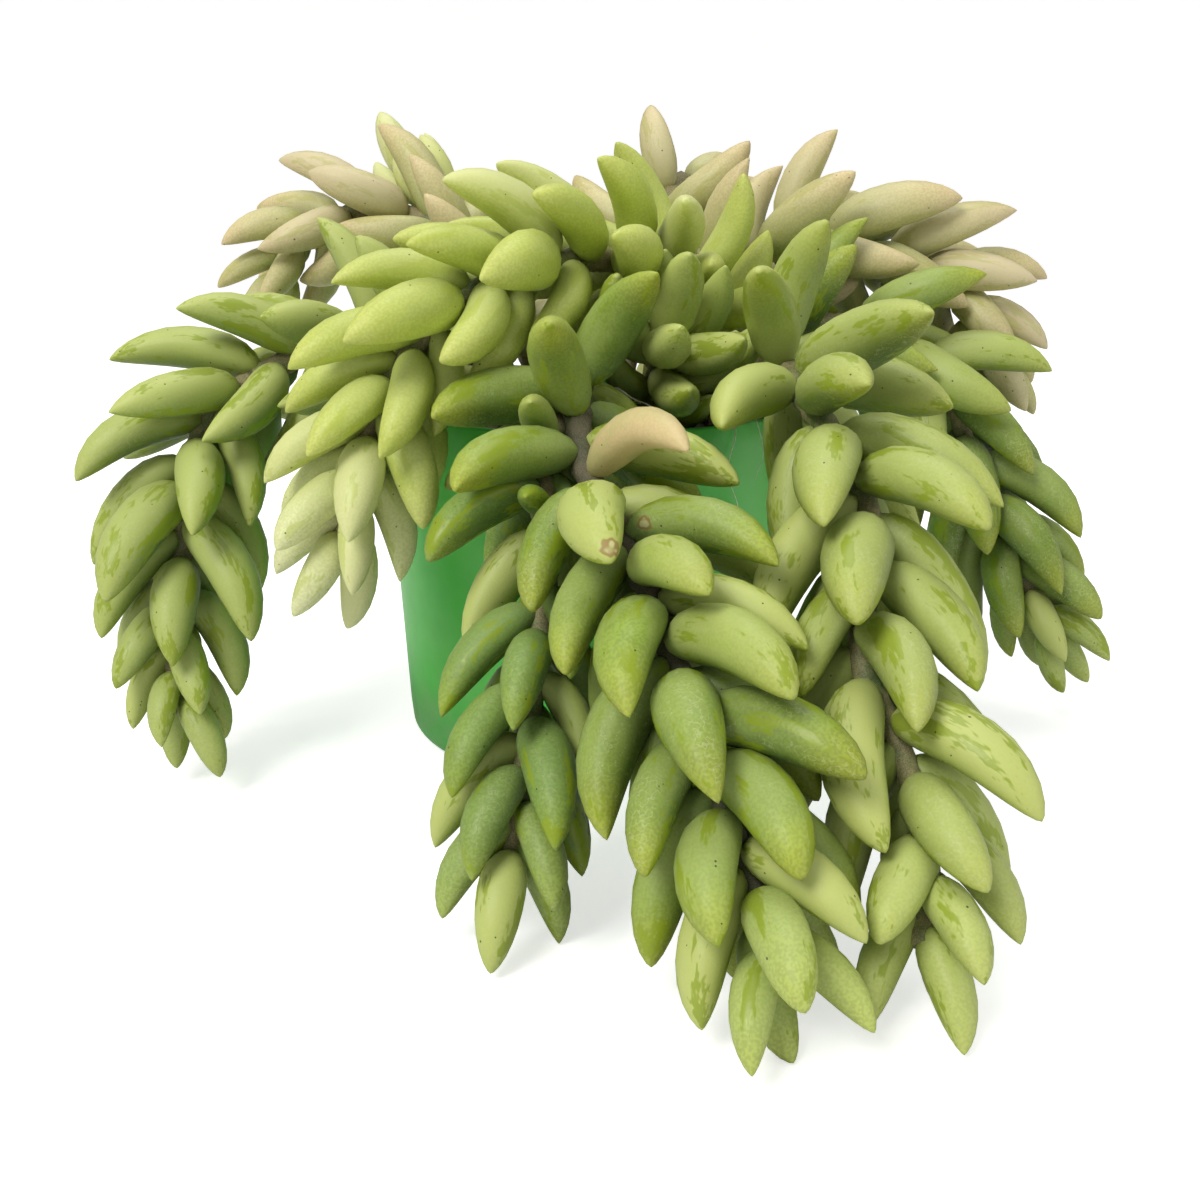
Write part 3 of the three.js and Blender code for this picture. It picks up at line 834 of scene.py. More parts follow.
class NodeSheet:
    """Short calls that add and join the nodes of one tree."""

    def __init__(self, tree: bpy.types.NodeTree) -> None:
        """Takes the tree that the calls fill."""
        self.tree = tree

    def feed(self, socket: Socket, value: object) -> None:
        """Joins a socket to another, or sets its plain value.

        Args:
            socket: the input to fill.
            value: an output socket, or a plain value.
        """
        if isinstance(value, Socket):
            self.tree.links.new(value, socket)
        else:
            socket.default_value = value

    def add(self, kind: str, inputs: dict[str | int, object] | None = None, **settings: object) -> bpy.types.Node:
        """Adds a node.

        Args:
            kind: the node's type name.
            inputs: values or sockets for its inputs, by name or number.
            settings: its own settings.

        Returns:
            The node.
        """
        node = self.tree.nodes.new(kind)
        for name, value in settings.items():
            setattr(node, name, value)
        for name, value in (inputs or {}).items():
            self.feed(node.inputs[name], value)
        return node

    def object_place(self) -> Socket:
        """Returns the Object coordinates."""
        return self.add("ShaderNodeTexCoord").outputs["Object"]

    def mark(self, name: str, output: str = "Fac") -> Socket:
        """Returns the value of a mark on the mesh's points."""
        return self.add("ShaderNodeAttribute", attribute_name=name).outputs[output]

    def vector(self, operation: str, first: Value, second: Value, output: str = "Vector") -> Socket:
        """Returns the result of a sum of two vectors."""
        return self.add("ShaderNodeVectorMath", {0: first, 1: second}, operation=operation).outputs[output]

    def noise(self, place: Socket, scale: Value, detail: float = 2.0, roughness: float = 0.5) -> Socket:
        """Returns smooth noise from 0 to 1 at a place."""
        inputs = {"Vector": place, "Scale": scale, "Detail": detail, "Roughness": roughness}
        return self.add("ShaderNodeTexNoise", inputs).outputs["Fac"]

    def calc(self, operation: str, first: Value, second: Value = 0.0, third: Value = 0.0,
             clamp: bool = False) -> Socket:
        """Returns the result of a sum of two or three numbers."""
        inputs = {0: first, 1: second, 2: third}
        return self.add("ShaderNodeMath", inputs, operation=operation, use_clamp=clamp).outputs[0]

    def times(self, first: Value, second: Value) -> Socket:
        """Returns the product of two numbers."""
        return self.calc("MULTIPLY", first, second)

    def minus(self, first: Value, second: Value) -> Socket:
        """Returns the first number less the second."""
        return self.calc("SUBTRACT", first, second)

    def weighed(self, first: Socket, weight: float, second: Socket, other_weight: float) -> Socket:
        """Returns the sum of two numbers, each times its weight."""
        return self.calc("ADD", self.times(first, weight), self.times(second, other_weight))

    def ramp(self, value: Value, low: Value, high: Value, to_low: float = 0.0, to_high: float = 1.0) -> Socket:
        """Returns a number carried smoothly from one range to another."""
        inputs = {"Value": value, "From Min": low, "From Max": high, "To Min": to_low, "To Max": to_high}
        return self.add("ShaderNodeMapRange", inputs, interpolation_type="SMOOTHSTEP").outputs["Result"]

    def blend(self, share: Value, first: Value, second: Value) -> Socket:
        """Mixes two colours.

        Args:
            share: how much of the second colour there is, from 0 to 1.
            first: a colour or a socket.
            second: a colour or a socket.

        Returns:
            The mix.
        """
        paint, other = (value if isinstance(value, Socket) else (*value, 1.0) for value in (first, second))
        inputs = {0: share, 6: paint, 7: other}
        return self.add("ShaderNodeMix", inputs, data_type="RGBA", blend_type="MIX", clamp_factor=True).outputs[2]

    def effect(self, tree: bpy.types.NodeTree, **inputs: object) -> bpy.types.bpy_prop_collection:
        """Adds a shared effect with its own values.

        Args:
            tree: the effect's group.
            inputs: values or sockets for its inputs.

        Returns:
            The outputs.
        """
        node = self.add("ShaderNodeGroup", node_tree=tree)
        for name, value in inputs.items():
            self.feed(node.inputs[name], value)
        return node.outputs

    def bump(self, height: Socket, strength: float, distance: float) -> Socket:
        """Returns the normal that a height gives."""
        inputs = {"Strength": strength, "Distance": distance, "Height": height}
        return self.add("ShaderNodeBump", inputs).outputs["Normal"]


class FinishSheet(NodeSheet):
    """The nodes of a new material with one Principled shader."""

    def __init__(self, name: str) -> None:
        """Makes the bare material.

        Args:
            name: the material's name.
        """
        self.material = bpy.data.materials.new(name)
        self.material.use_nodes = True
        super().__init__(self.material.node_tree)
        self.tree.nodes.clear()
        self.shader = self.add("ShaderNodeBsdfPrincipled")
        self.add("ShaderNodeOutputMaterial", {"Surface": self.shader.outputs["BSDF"]})

    def dressed(self, values: dict[str, object]) -> bpy.types.Material:
        """Fills the shader's inputs.

        Args:
            values: sockets or plain values by the input's name.

        Returns:
            The finished material.
        """
        for name, value in values.items():
            self.feed(self.shader.inputs[name], value)
        return self.material


class Kind(Enum):
    """Kinds of sockets that a shared effect has."""

    NUMBER = "NodeSocketFloat"
    COLOR = "NodeSocketColor"
    PLACE = "NodeSocketVector"


class Effect(NodeSheet):
    """A shared effect: a shader node group with named inputs and outputs."""

    def __init__(self, name: str, inputs: dict[str, Kind], outputs: dict[str, Kind]) -> None:
        """Makes the empty group.

        Args:
            name: the effect's name.
            inputs: its inputs by name.
            outputs: its outputs by name.
        """
        super().__init__(bpy.data.node_groups.new(name, "ShaderNodeTree"))
        for way, sockets in (("INPUT", inputs), ("OUTPUT", outputs)):
            for label, kind in sockets.items():
                self.tree.interface.new_socket(label, in_out=way, socket_type=kind.value)
        self.given = self.add("NodeGroupInput").outputs
        self.result = self.add("NodeGroupOutput").inputs

    def closed(self, **outputs: Socket) -> bpy.types.NodeTree:
        """Joins the outputs and returns the group."""
        for name, value in outputs.items():
            self.feed(self.result[name], value)
        return self.tree


def patches_effect() -> bpy.types.NodeTree:
    """Makes soft-edged patches with finer broken edges, such as rubbed wax.

    Returns:
        The group, with the Mask and the Field that it is cut from.
    """
    effect = Effect(
        "Patches",
        {"Place": Kind.PLACE, "Scale": Kind.NUMBER, "Cover": Kind.NUMBER, "Softness": Kind.NUMBER},
        {"Mask": Kind.NUMBER, "Field": Kind.NUMBER},
    )
    place, scale, cover, softness = effect.given[:4]
    wide = effect.noise(place, scale, 1.0)
    fine = effect.noise(place, effect.times(scale, 5.5), 1.0, 0.65)
    both = effect.weighed(wide, 0.7, fine, 0.3)
    edge = effect.minus(1.0, cover)
    mask = effect.ramp(both, effect.minus(edge, softness), effect.calc("ADD", edge, softness))
    return effect.closed(Mask=mask, Field=both)


def specks_effect() -> bpy.types.NodeTree:
    """Makes small round specks in a share of the cells of a grid.

    Returns:
        The group, with the Mask.
    """
    effect = Effect(
        "Specks",
        {"Place": Kind.PLACE, "Scale": Kind.NUMBER, "Share": Kind.NUMBER, "Size": Kind.NUMBER},
        {"Mask": Kind.NUMBER},
    )
    place, scale, share, size = effect.given[:4]
    cells = effect.add("ShaderNodeTexVoronoi", {"Vector": place, "Scale": scale})
    chance = effect.add("ShaderNodeSeparateColor", {"Color": cells.outputs["Color"]}).outputs["Red"]
    reach = effect.times(size, effect.calc("ADD", chance, 0.5))
    near = effect.calc("SUBTRACT", 1.0, effect.calc("DIVIDE", cells.outputs["Distance"], reach), clamp=True)
    chosen = effect.calc("LESS_THAN", chance, share)
    return effect.closed(Mask=effect.times(chosen, effect.ramp(near, 0.0, 0.35)))


def mottle_effect() -> bpy.types.NodeTree:
    """Varies a colour from a darker to a lighter form of itself by two noises.

    Returns:
        The group, with the Color.
    """
    effect = Effect(
        "Mottle",
        {"Color": Kind.COLOR, "Place": Kind.PLACE, "Scale": Kind.NUMBER, "Amount": Kind.NUMBER},
        {"Color": Kind.COLOR},
    )
    color, place, scale, amount = effect.given[:4]
    wide = effect.noise(place, scale, 1.0)
    flecks = effect.ramp(effect.noise(place, effect.times(scale, 13.0), 0.0), 0.33, 0.67)
    both = effect.weighed(wide, 0.65, flecks, 0.35)
    value = effect.calc("MULTIPLY_ADD", effect.times(effect.minus(both, 0.5), amount), 2.0, 1.0)
    varied = effect.add("ShaderNodeHueSaturation", {"Color": color, "Value": value, "Fac": 1.0})
    return effect.closed(Color=varied.outputs["Color"])


def grain_effect() -> bpy.types.NodeTree:
    """Makes a fine skin grain over gentle unevenness.

    Returns:
        The group, with the Height.
    """
    effect = Effect(
        "Grain",
        {"Place": Kind.PLACE, "Scale": Kind.NUMBER, "Fineness": Kind.NUMBER},
        {"Height": Kind.NUMBER},
    )
    place, scale, fineness = effect.given[:3]
    soft = effect.noise(place, scale, 0.0)
    fine = effect.noise(place, effect.times(scale, fineness), 0.0)
    return effect.closed(Height=effect.weighed(soft, 0.6, fine, 0.25))


def scurf_effect() -> bpy.types.NodeTree:
    """Makes thin curdled lines, where a noise crosses its middle value.

    Returns:
        The group, with the Mask.
    """
    effect = Effect(
        "Scurf",
        {"Place": Kind.PLACE, "Scale": Kind.NUMBER, "Width": Kind.NUMBER},
        {"Mask": Kind.NUMBER},
    )
    place, scale, width = effect.given[:3]
    off = effect.calc("ABSOLUTE", effect.minus(effect.noise(place, scale, 1.0, 0.7), 0.5))
    return effect.closed(Mask=effect.ramp(effect.calc("DIVIDE", off, width), 1.0, 0.3))


def ring_scar_effect() -> bpy.types.NodeTree:
    """Makes a scar about one spot: a wavering ring round a middle.

    Returns:
        The group, with the Ring and the Middle.
    """
    effect = Effect(
        "Ring Scar",
        {"Place": Kind.PLACE, "Spot": Kind.PLACE, "Radius": Kind.NUMBER},
        {"Ring": Kind.NUMBER, "Middle": Kind.NUMBER},
    )
    place, spot, radius = effect.given[:3]
    wobble = effect.times(effect.noise(place, 1300.0, 0.0), 0.7)
    reach = effect.calc("DIVIDE", effect.vector("DISTANCE", place, spot, "Value"), radius)
    share = effect.calc("ADD", reach, effect.minus(wobble, 0.35))
    ring = effect.ramp(effect.calc("ABSOLUTE", effect.minus(share, 0.8)), 0.35, 0.1)
    return effect.closed(Ring=ring, Middle=effect.ramp(share, 0.75, 0.45))


@dataclass(frozen=True)
class EffectShelf:
    """The shared effects, each built once."""

    patches: bpy.types.NodeTree
    specks: bpy.types.NodeTree
    mottle: bpy.types.NodeTree
    grain: bpy.types.NodeTree
    scurf: bpy.types.NodeTree
    ring_scar: bpy.types.NodeTree

    @staticmethod
    def filled() -> "EffectShelf":
        """Builds all effects."""
        return EffectShelf(
            patches_effect(), specks_effect(), mottle_effect(), grain_effect(), scurf_effect(), ring_scar_effect(),
        )


@dataclass(frozen=True)
class LeafFinish:
    """Waxy leaf skin: a painted light colour and a painted shade colour under a pale bloom that is rubbed off in
    streaks.

    Shares say how strong a colour gets, and scales how fine a pattern is, in cells for each metre.
    """

    name: str
    painted_light: Color
    painted_shade: Color
    tip: Color = (0.46, 0.48, 0.04)
    foot: Color = (0.17, 0.27, 0.11)
    wax: Color = (0.5, 0.57, 0.26)
    rubbed: Color = (0.25, 0.33, 0.01)
    blush: Color = (0.72, 0.53, 0.29)
    fresh_growth: Color = (0.5, 0.56, 0.2)
    scurf: Color = (0.56, 0.6, 0.34)
    sunned: Color = (0.54, 0.59, 0.18)
    speck: Color = (0.04, 0.035, 0.015)
    scar_ring: Color = (0.3, 0.17, 0.06)
    scar_middle: Color = (0.62, 0.55, 0.3)
    mottle: float = 0.32
    tip_share: float = 0.55
    young_share: float = 0.6
    foot_share: float = 0.5
    foot_reach: float = 0.38
    wax_share: float = 0.62
    rub_share: float = 0.75
    scurf_share: float = 0.27
    mottle_scale: float = 190.0
    wax_scale: float = 110.0
    streak_scale: float = 290.0
    scurf_scale: float = 850.0
    speck_scale: float = 600.0
    pore_scale: float = 2300.0
    scar_radius: float = 0.0013

    def pigment(self, sheet: NodeSheet, shelf: EffectShelf, place: Socket) -> Socket:
        """Mixes the colour under the wax: painted light and shade from the lit to the shaded side, green at the foot
        and yellow at the tip.

        Args:
            sheet: the material's nodes.
            shelf: the shared effects.
            place: the place on the leaf.

        Returns:
            The mottled colour.
        """
        along, tan = sheet.mark("leaf_along"), sheet.mark("leaf_tan")
        # Painted light and shade: lighter where the skin faces the light, darker where it faces away, shifted by each
        # leaf's random tint.
        lit = sheet.calc("MULTIPLY_ADD", sheet.mark("leaf_tint"), 0.8, sheet.mark("leaf_sun"))
        color = sheet.blend(sheet.ramp(lit, 0.25, 1.5), self.painted_shade, self.painted_light)
        color = sheet.blend(sheet.ramp(along, self.foot_reach, 0.0, 0.0, self.foot_share), color, self.foot)
        color = sheet.blend(sheet.ramp(along, 0.6, 1.0, 0.0, self.tip_share), color, self.tip)
        young = sheet.ramp(sheet.mark("leaf_young"), 0.35, 1.0, 0.0, self.young_share)
        color = sheet.blend(young, color, self.fresh_growth)
        color = sheet.blend(sheet.times(tan, 0.9), color, self.blush)
        amount = sheet.calc("MULTIPLY_ADD", tan, -0.7 * self.mottle, self.mottle)
        return sheet.effect(shelf.mottle, Color=color, Place=place, Scale=self.mottle_scale, Amount=amount)["Color"]

    def bloomed(self, sheet: NodeSheet, shelf: EffectShelf, place: Socket, color: Socket) -> Socket:
        """Lays patches of pale wax, strongest on the side that faces the light as painted light, then bleaches the
        leaves that had most sun, again most on that side.

        Args:
            sheet: the material's nodes.
            shelf: the shared effects.
            place: the place on the leaf.
            color: the pigment.

        Returns:
            The colour under its bloom.
        """
        sun = sheet.mark("leaf_sun")
        drawn = sheet.vector("MULTIPLY", place, (1.0, 0.4, 1.0))
        wax = sheet.effect(shelf.patches, Place=drawn, Scale=self.wax_scale, Cover=0.6, Softness=0.16)["Mask"]
        # Painted light: the pale bloom is strongest where the skin faces the light.
        bloom = sheet.times(wax, sheet.ramp(sun, 0.25, 0.95, 0.2, 1.0))
        bloom = sheet.times(bloom, sheet.calc("MULTIPLY_ADD", sheet.mark("leaf_tint"), 0.75, 0.65))
        bloom = sheet.times(bloom, sheet.ramp(sheet.mark("leaf_along"), 0.95, 0.4, 0.3, 1.0))
        color = sheet.blend(sheet.times(bloom, self.wax_share), color, self.wax)
        # Bleaching, partly painted light: the bleached colour shows most where the skin faces the light.
        bleached = sheet.times(sheet.mark("leaf_sunned"), sheet.ramp(sun, 0.1, 0.9, 0.15, 0.9))
        return sheet.blend(bleached, color, self.sunned)

    def material(self, shelf: EffectShelf, scars: Sequence[Point] = ()) -> bpy.types.Material:
        """Builds the material: rubbed streaks, broken scurf on dull leaves, specks and scars.

        Args:
            shelf: the shared effects.
            scars: middles of round scars, as places on the leaves.

        Returns:
            The finished leaf material.
        """
        sheet = FinishSheet(self.name)
        place = sheet.mark("leaf_place", "Vector")
        color = self.bloomed(sheet, shelf, place, self.pigment(sheet, shelf, place))
        drawn = sheet.vector("MULTIPLY", place, (1.0, 0.25, 1.0))
        streaks = sheet.effect(shelf.patches, Place=drawn, Scale=self.streak_scale, Cover=0.425, Softness=0.025)
        rub = streaks["Mask"]
        green = sheet.calc("MULTIPLY_ADD", sheet.mark("leaf_tan"), -0.93 * self.rub_share, self.rub_share)
        color = sheet.blend(sheet.times(rub, green), color, self.rubbed)
        if self.scurf_share:
            lines = sheet.effect(shelf.scurf, Place=place, Scale=self.scurf_scale, Width=0.035)["Mask"]
            dull = sheet.ramp(sheet.mark("leaf_tint"), 0.5, 0.25, 0.1 * self.scurf_share, self.scurf_share)
            broken = sheet.times(dull, sheet.ramp(streaks["Field"], 0.54, 0.42))
            color = sheet.blend(sheet.times(lines, broken), color, self.scurf)
        specks = sheet.effect(shelf.specks, Place=place, Scale=self.speck_scale, Share=0.17, Size=0.19)["Mask"]
        color = sheet.blend(sheet.times(specks, 0.85), color, self.speck)
        for spot in scars:
            scar = sheet.effect(shelf.ring_scar, Place=place, Spot=spot, Radius=self.scar_radius)
            color = sheet.blend(sheet.times(scar["Ring"], 0.8), color, self.scar_ring)
            color = sheet.blend(sheet.times(scar["Middle"], 0.6), color, self.scar_middle)
        return sheet.dressed({
            "Base Color": color,
            "Roughness": sheet.ramp(rub, 0.0, 1.0, 0.5, 0.36),
            "Normal": sheet.bump(sheet.noise(place, self.pore_scale, 0.0), 0.12, 0.0002),
            "Specular IOR Level": 0.4,
        })


@dataclass(frozen=True)
class BarkFinish:
    """Thin stem bark: green-grey skin that turns tan, with brown scars where leaves fell."""

    name: str
    green: Color = (0.13, 0.18, 0.06)
    tan: Color = (0.28, 0.24, 0.12)
    brown: Color = (0.06, 0.04, 0.02)
    raw: Color = (0.62, 0.13, 0.03)
    raw_spot: Point = (0.0385, -0.0626, 0.064)
    raw_radius: float = 0.0021
    patch_scale: float = 160.0
    speck_scale: float = 300.0
    mottle_scale: float = 400.0
    grain_scale: float = 500.0

    def material(self, shelf: EffectShelf) -> bpy.types.Material:
        """Builds the material, with one raw red spot where a leaf was torn off.

        Args:
            shelf: the shared effects.

        Returns:
            The finished bark material.
        """
        sheet = FinishSheet(self.name)
        place = sheet.object_place()
        patch = sheet.effect(shelf.patches, Place=place, Scale=self.patch_scale, Cover=0.55, Softness=0.15)["Mask"]
        color = sheet.blend(patch, self.green, self.tan)
        specks = sheet.effect(shelf.specks, Place=place, Scale=self.speck_scale, Share=0.3, Size=0.3)["Mask"]
        color = sheet.blend(sheet.times(specks, 0.7), color, self.brown)
        scar = sheet.effect(shelf.ring_scar, Place=place, Spot=self.raw_spot, Radius=self.raw_radius)
        color = sheet.blend(scar["Middle"], color, self.raw)
        color = sheet.effect(shelf.mottle, Color=color, Place=place, Scale=self.mottle_scale, Amount=0.6)["Color"]
        grain = sheet.effect(shelf.grain, Place=place, Scale=self.grain_scale, Fineness=4.0)["Height"]
        return sheet.dressed({
            "Base Color": color,
            "Roughness": sheet.ramp(patch, 0.0, 1.0, 0.55, 0.75),
            "Normal": sheet.bump(grain, 0.6, 0.0005),
        })


@dataclass(frozen=True)
class PotFinish:
    """Thin bright green plastic: glossy, a little cloudy, with fine scuffs, dust near the foot and a paler upright
    band of painted reflection.
    """

    name: str = "nursery pot plastic"
    clear: Color = (0.07, 0.53, 0.065)
    cloudy: Color = (0.13, 0.62, 0.1)
    dust: Color = (0.35, 0.38, 0.26)
    foot: Color = (0.03, 0.2, 0.035)
    foot_heights: tuple[float, float] = (0.016, 0.004)
    dust_height: float = 0.022
    painted_reflection: Color = (0.26, 0.72, 0.22)
    painted_reflection_line: Point = (0.032, -0.024, 0.0)
    painted_reflection_width: float = 0.014
    cloud_scale: float = 35.0
    dust_scale: float = 150.0
    grain_scale: float = 60.0

    def material(self, shelf: EffectShelf) -> bpy.types.Material:
        """Builds the material: cloudy green, a paler upright band of painted reflection, a darker foot and dust.

        Args:
            shelf: the shared effects.

        Returns:
            The finished plastic.
        """
        sheet = FinishSheet(self.name)
        place = sheet.object_place()
        cloud = sheet.effect(shelf.patches, Place=place, Scale=self.cloud_scale, Cover=0.5, Softness=0.25)["Mask"]
        color = sheet.blend(cloud, self.clear, self.cloudy)
        dust = sheet.effect(shelf.patches, Place=place, Scale=self.dust_scale, Cover=0.45, Softness=0.28)["Mask"]
        height = sheet.add("ShaderNodeSeparateXYZ", {"Vector": place}).outputs["Z"]
        dusty = sheet.times(dust, sheet.calc("ADD", sheet.ramp(height, self.dust_height, 0.0, 0.0, 0.55), 0.06))
        color = sheet.blend(sheet.ramp(height, *self.foot_heights, 0.0, 0.5), color, self.foot)
        # Painted reflection: a paler upright band on the pot's right front, standing in for a highlight from the
        # lights.
        around = sheet.vector("MULTIPLY", place, (1.0, 1.0, 0.0))
        away = sheet.vector("DISTANCE", around, self.painted_reflection_line, "Value")
        color = sheet.blend(sheet.ramp(away, self.painted_reflection_width, self.painted_reflection_width * 0.3, 0.0, 0.5), color, self.painted_reflection)
        grain = sheet.effect(shelf.grain, Place=place, Scale=self.grain_scale, Fineness=30.0)["Height"]
        return sheet.dressed({
            "Base Color": sheet.blend(dusty, color, self.dust),
            "Roughness": sheet.ramp(dusty, 0.0, 0.5, 0.34, 0.65),
            "Normal": sheet.bump(grain, 0.12, 0.0004),
            "Specular IOR Level": 0.35,
        })


@dataclass(frozen=True)
class SoilFinish:
    """Potting mix: grey-brown peat with lighter fibres and damp dark hollows."""

    name: str = "potting soil"
    dark: Color = (0.045, 0.033, 0.023)
    light: Color = (0.21, 0.165, 0.12)
    fibre: Color = (0.3, 0.23, 0.15)
    patch_scale: float = 260.0
    fibre_scale: float = 600.0
    grain_scale: float = 500.0

    def material(self, shelf: EffectShelf) -> bpy.types.Material:
        """Builds the material: patches, a shade for each crumb, and fibres.

        Args:
            shelf: the shared effects.

        Returns:
            The finished soil.
        """
        sheet = FinishSheet(self.name)
        place = sheet.object_place()
        patch = sheet.effect(shelf.patches, Place=place, Scale=self.patch_scale, Cover=0.5, Softness=0.2)["Mask"]
        color = sheet.blend(sheet.weighed(patch, 0.6, sheet.mark("crumb_chance"), 0.4), self.dark, self.light)
        specks = sheet.effect(shelf.specks, Place=place, Scale=self.fibre_scale, Share=0.2, Size=0.35)["Mask"]
        grain = sheet.effect(shelf.grain, Place=place, Scale=self.grain_scale, Fineness=5.0)["Height"]
        return sheet.dressed({
            "Base Color": sheet.blend(sheet.times(specks, 0.6), color, self.fibre),
            "Roughness": 0.92,
            "Normal": sheet.bump(grain, 0.9, 0.0012),
        })


@dataclass(frozen=True)
class PaleFinish:
    """A pale fine-grained finish, for bits of perlite and dry root threads."""

    name: str
    light: Color
    dark: Color
    roughness: float = 0.85
    patch_scale: float = 700.0
    grain_scale: float = 900.0

    def material(self, shelf: EffectShelf) -> bpy.types.Material:
        """Builds the material from the shared patches and grain.

        Args:
            shelf: the shared effects.

        Returns:
            The finished material.
        """
        sheet = FinishSheet(self.name)
        place = sheet.object_place()
        patch = sheet.effect(shelf.patches, Place=place, Scale=self.patch_scale, Cover=0.5, Softness=0.2)["Mask"]
        grain = sheet.effect(shelf.grain, Place=place, Scale=self.grain_scale, Fineness=4.0)["Height"]
        return sheet.dressed({
            "Base Color": sheet.blend(patch, self.dark, self.light),
            "Roughness": self.roughness,
            "Normal": sheet.bump(grain, 0.5, 0.0003),
        })


# Each leaf finish lists its painted light colour first and its painted shade colour second.
LEAF_FINISHES = {
    Tone.FRESH: LeafFinish(
        "fresh leaf skin", (0.235, 0.335, 0.036), (0.045, 0.1, 0.009), wax=(0.385, 0.47, 0.15),
        fresh_growth=(0.51, 0.59, 0.16),
    ),
    Tone.DEEP: LeafFinish(
        "deep leaf skin", (0.2, 0.31, 0.045), (0.038, 0.1, 0.013), (0.33, 0.4, 0.05),
        wax=(0.25, 0.36, 0.11), fresh_growth=(0.4, 0.48, 0.12), scurf_share=0.15,
    ),
    Tone.PALE: LeafFinish(
        "pale leaf skin", (0.53, 0.6, 0.12), (0.42, 0.51, 0.07), (0.58, 0.6, 0.16),
        foot=(0.28, 0.37, 0.08), wax=(0.55, 0.6, 0.22), rubbed=(0.42, 0.5, 0.06),
        fresh_growth=(0.76, 0.77, 0.45), sunned=(0.68, 0.7, 0.32),
        mottle=0.18, young_share=0.85, rub_share=0.4, scurf_share=0.0,
    ),
    Tone.BLUSH: LeafFinish(
        "sun-blushed leaf skin", (0.63, 0.54, 0.26), (0.4, 0.41, 0.14), (0.69, 0.51, 0.3),
        foot=(0.27, 0.38, 0.1), wax=(0.64, 0.59, 0.34), rubbed=(0.42, 0.42, 0.1),
        fresh_growth=(0.5, 0.53, 0.2), sunned=(0.64, 0.55, 0.34),
        mottle=0.2, young_share=0.5, foot_share=0.65, foot_reach=0.75, wax_share=0.45, rub_share=0.4,
        scurf_share=0.0,
    ),
}


BARK_FINISHES = {
    Bark.TAN: BarkFinish("tan stem bark"),
    Bark.GREY: BarkFinish("grey stem bark", (0.09, 0.1, 0.045), (0.13, 0.11, 0.07), (0.03, 0.022, 0.014)),
}


def scar_home(index: int) -> np.ndarray:
    """Returns where a scarred leaf's own place starts, in mm, far from every other leaf's."""
    return np.array([SCAR_SPACING * (index + 1), 0.0, 0.0])


def scar_spots(plans: Sequence[StemPlan]) -> list[Point]:
    """Finds the middles of all scars as the leaf material reads them.

    Args:
        plans: the stems that wear one finish.

    Returns:
        The spots in metres.
    """
    return [
        tuple(float(value) for value in (scar_home(home) + np.array(place)) * MM)
        for plan in plans for home, (_, place) in enumerate(plan.scars)
    ]


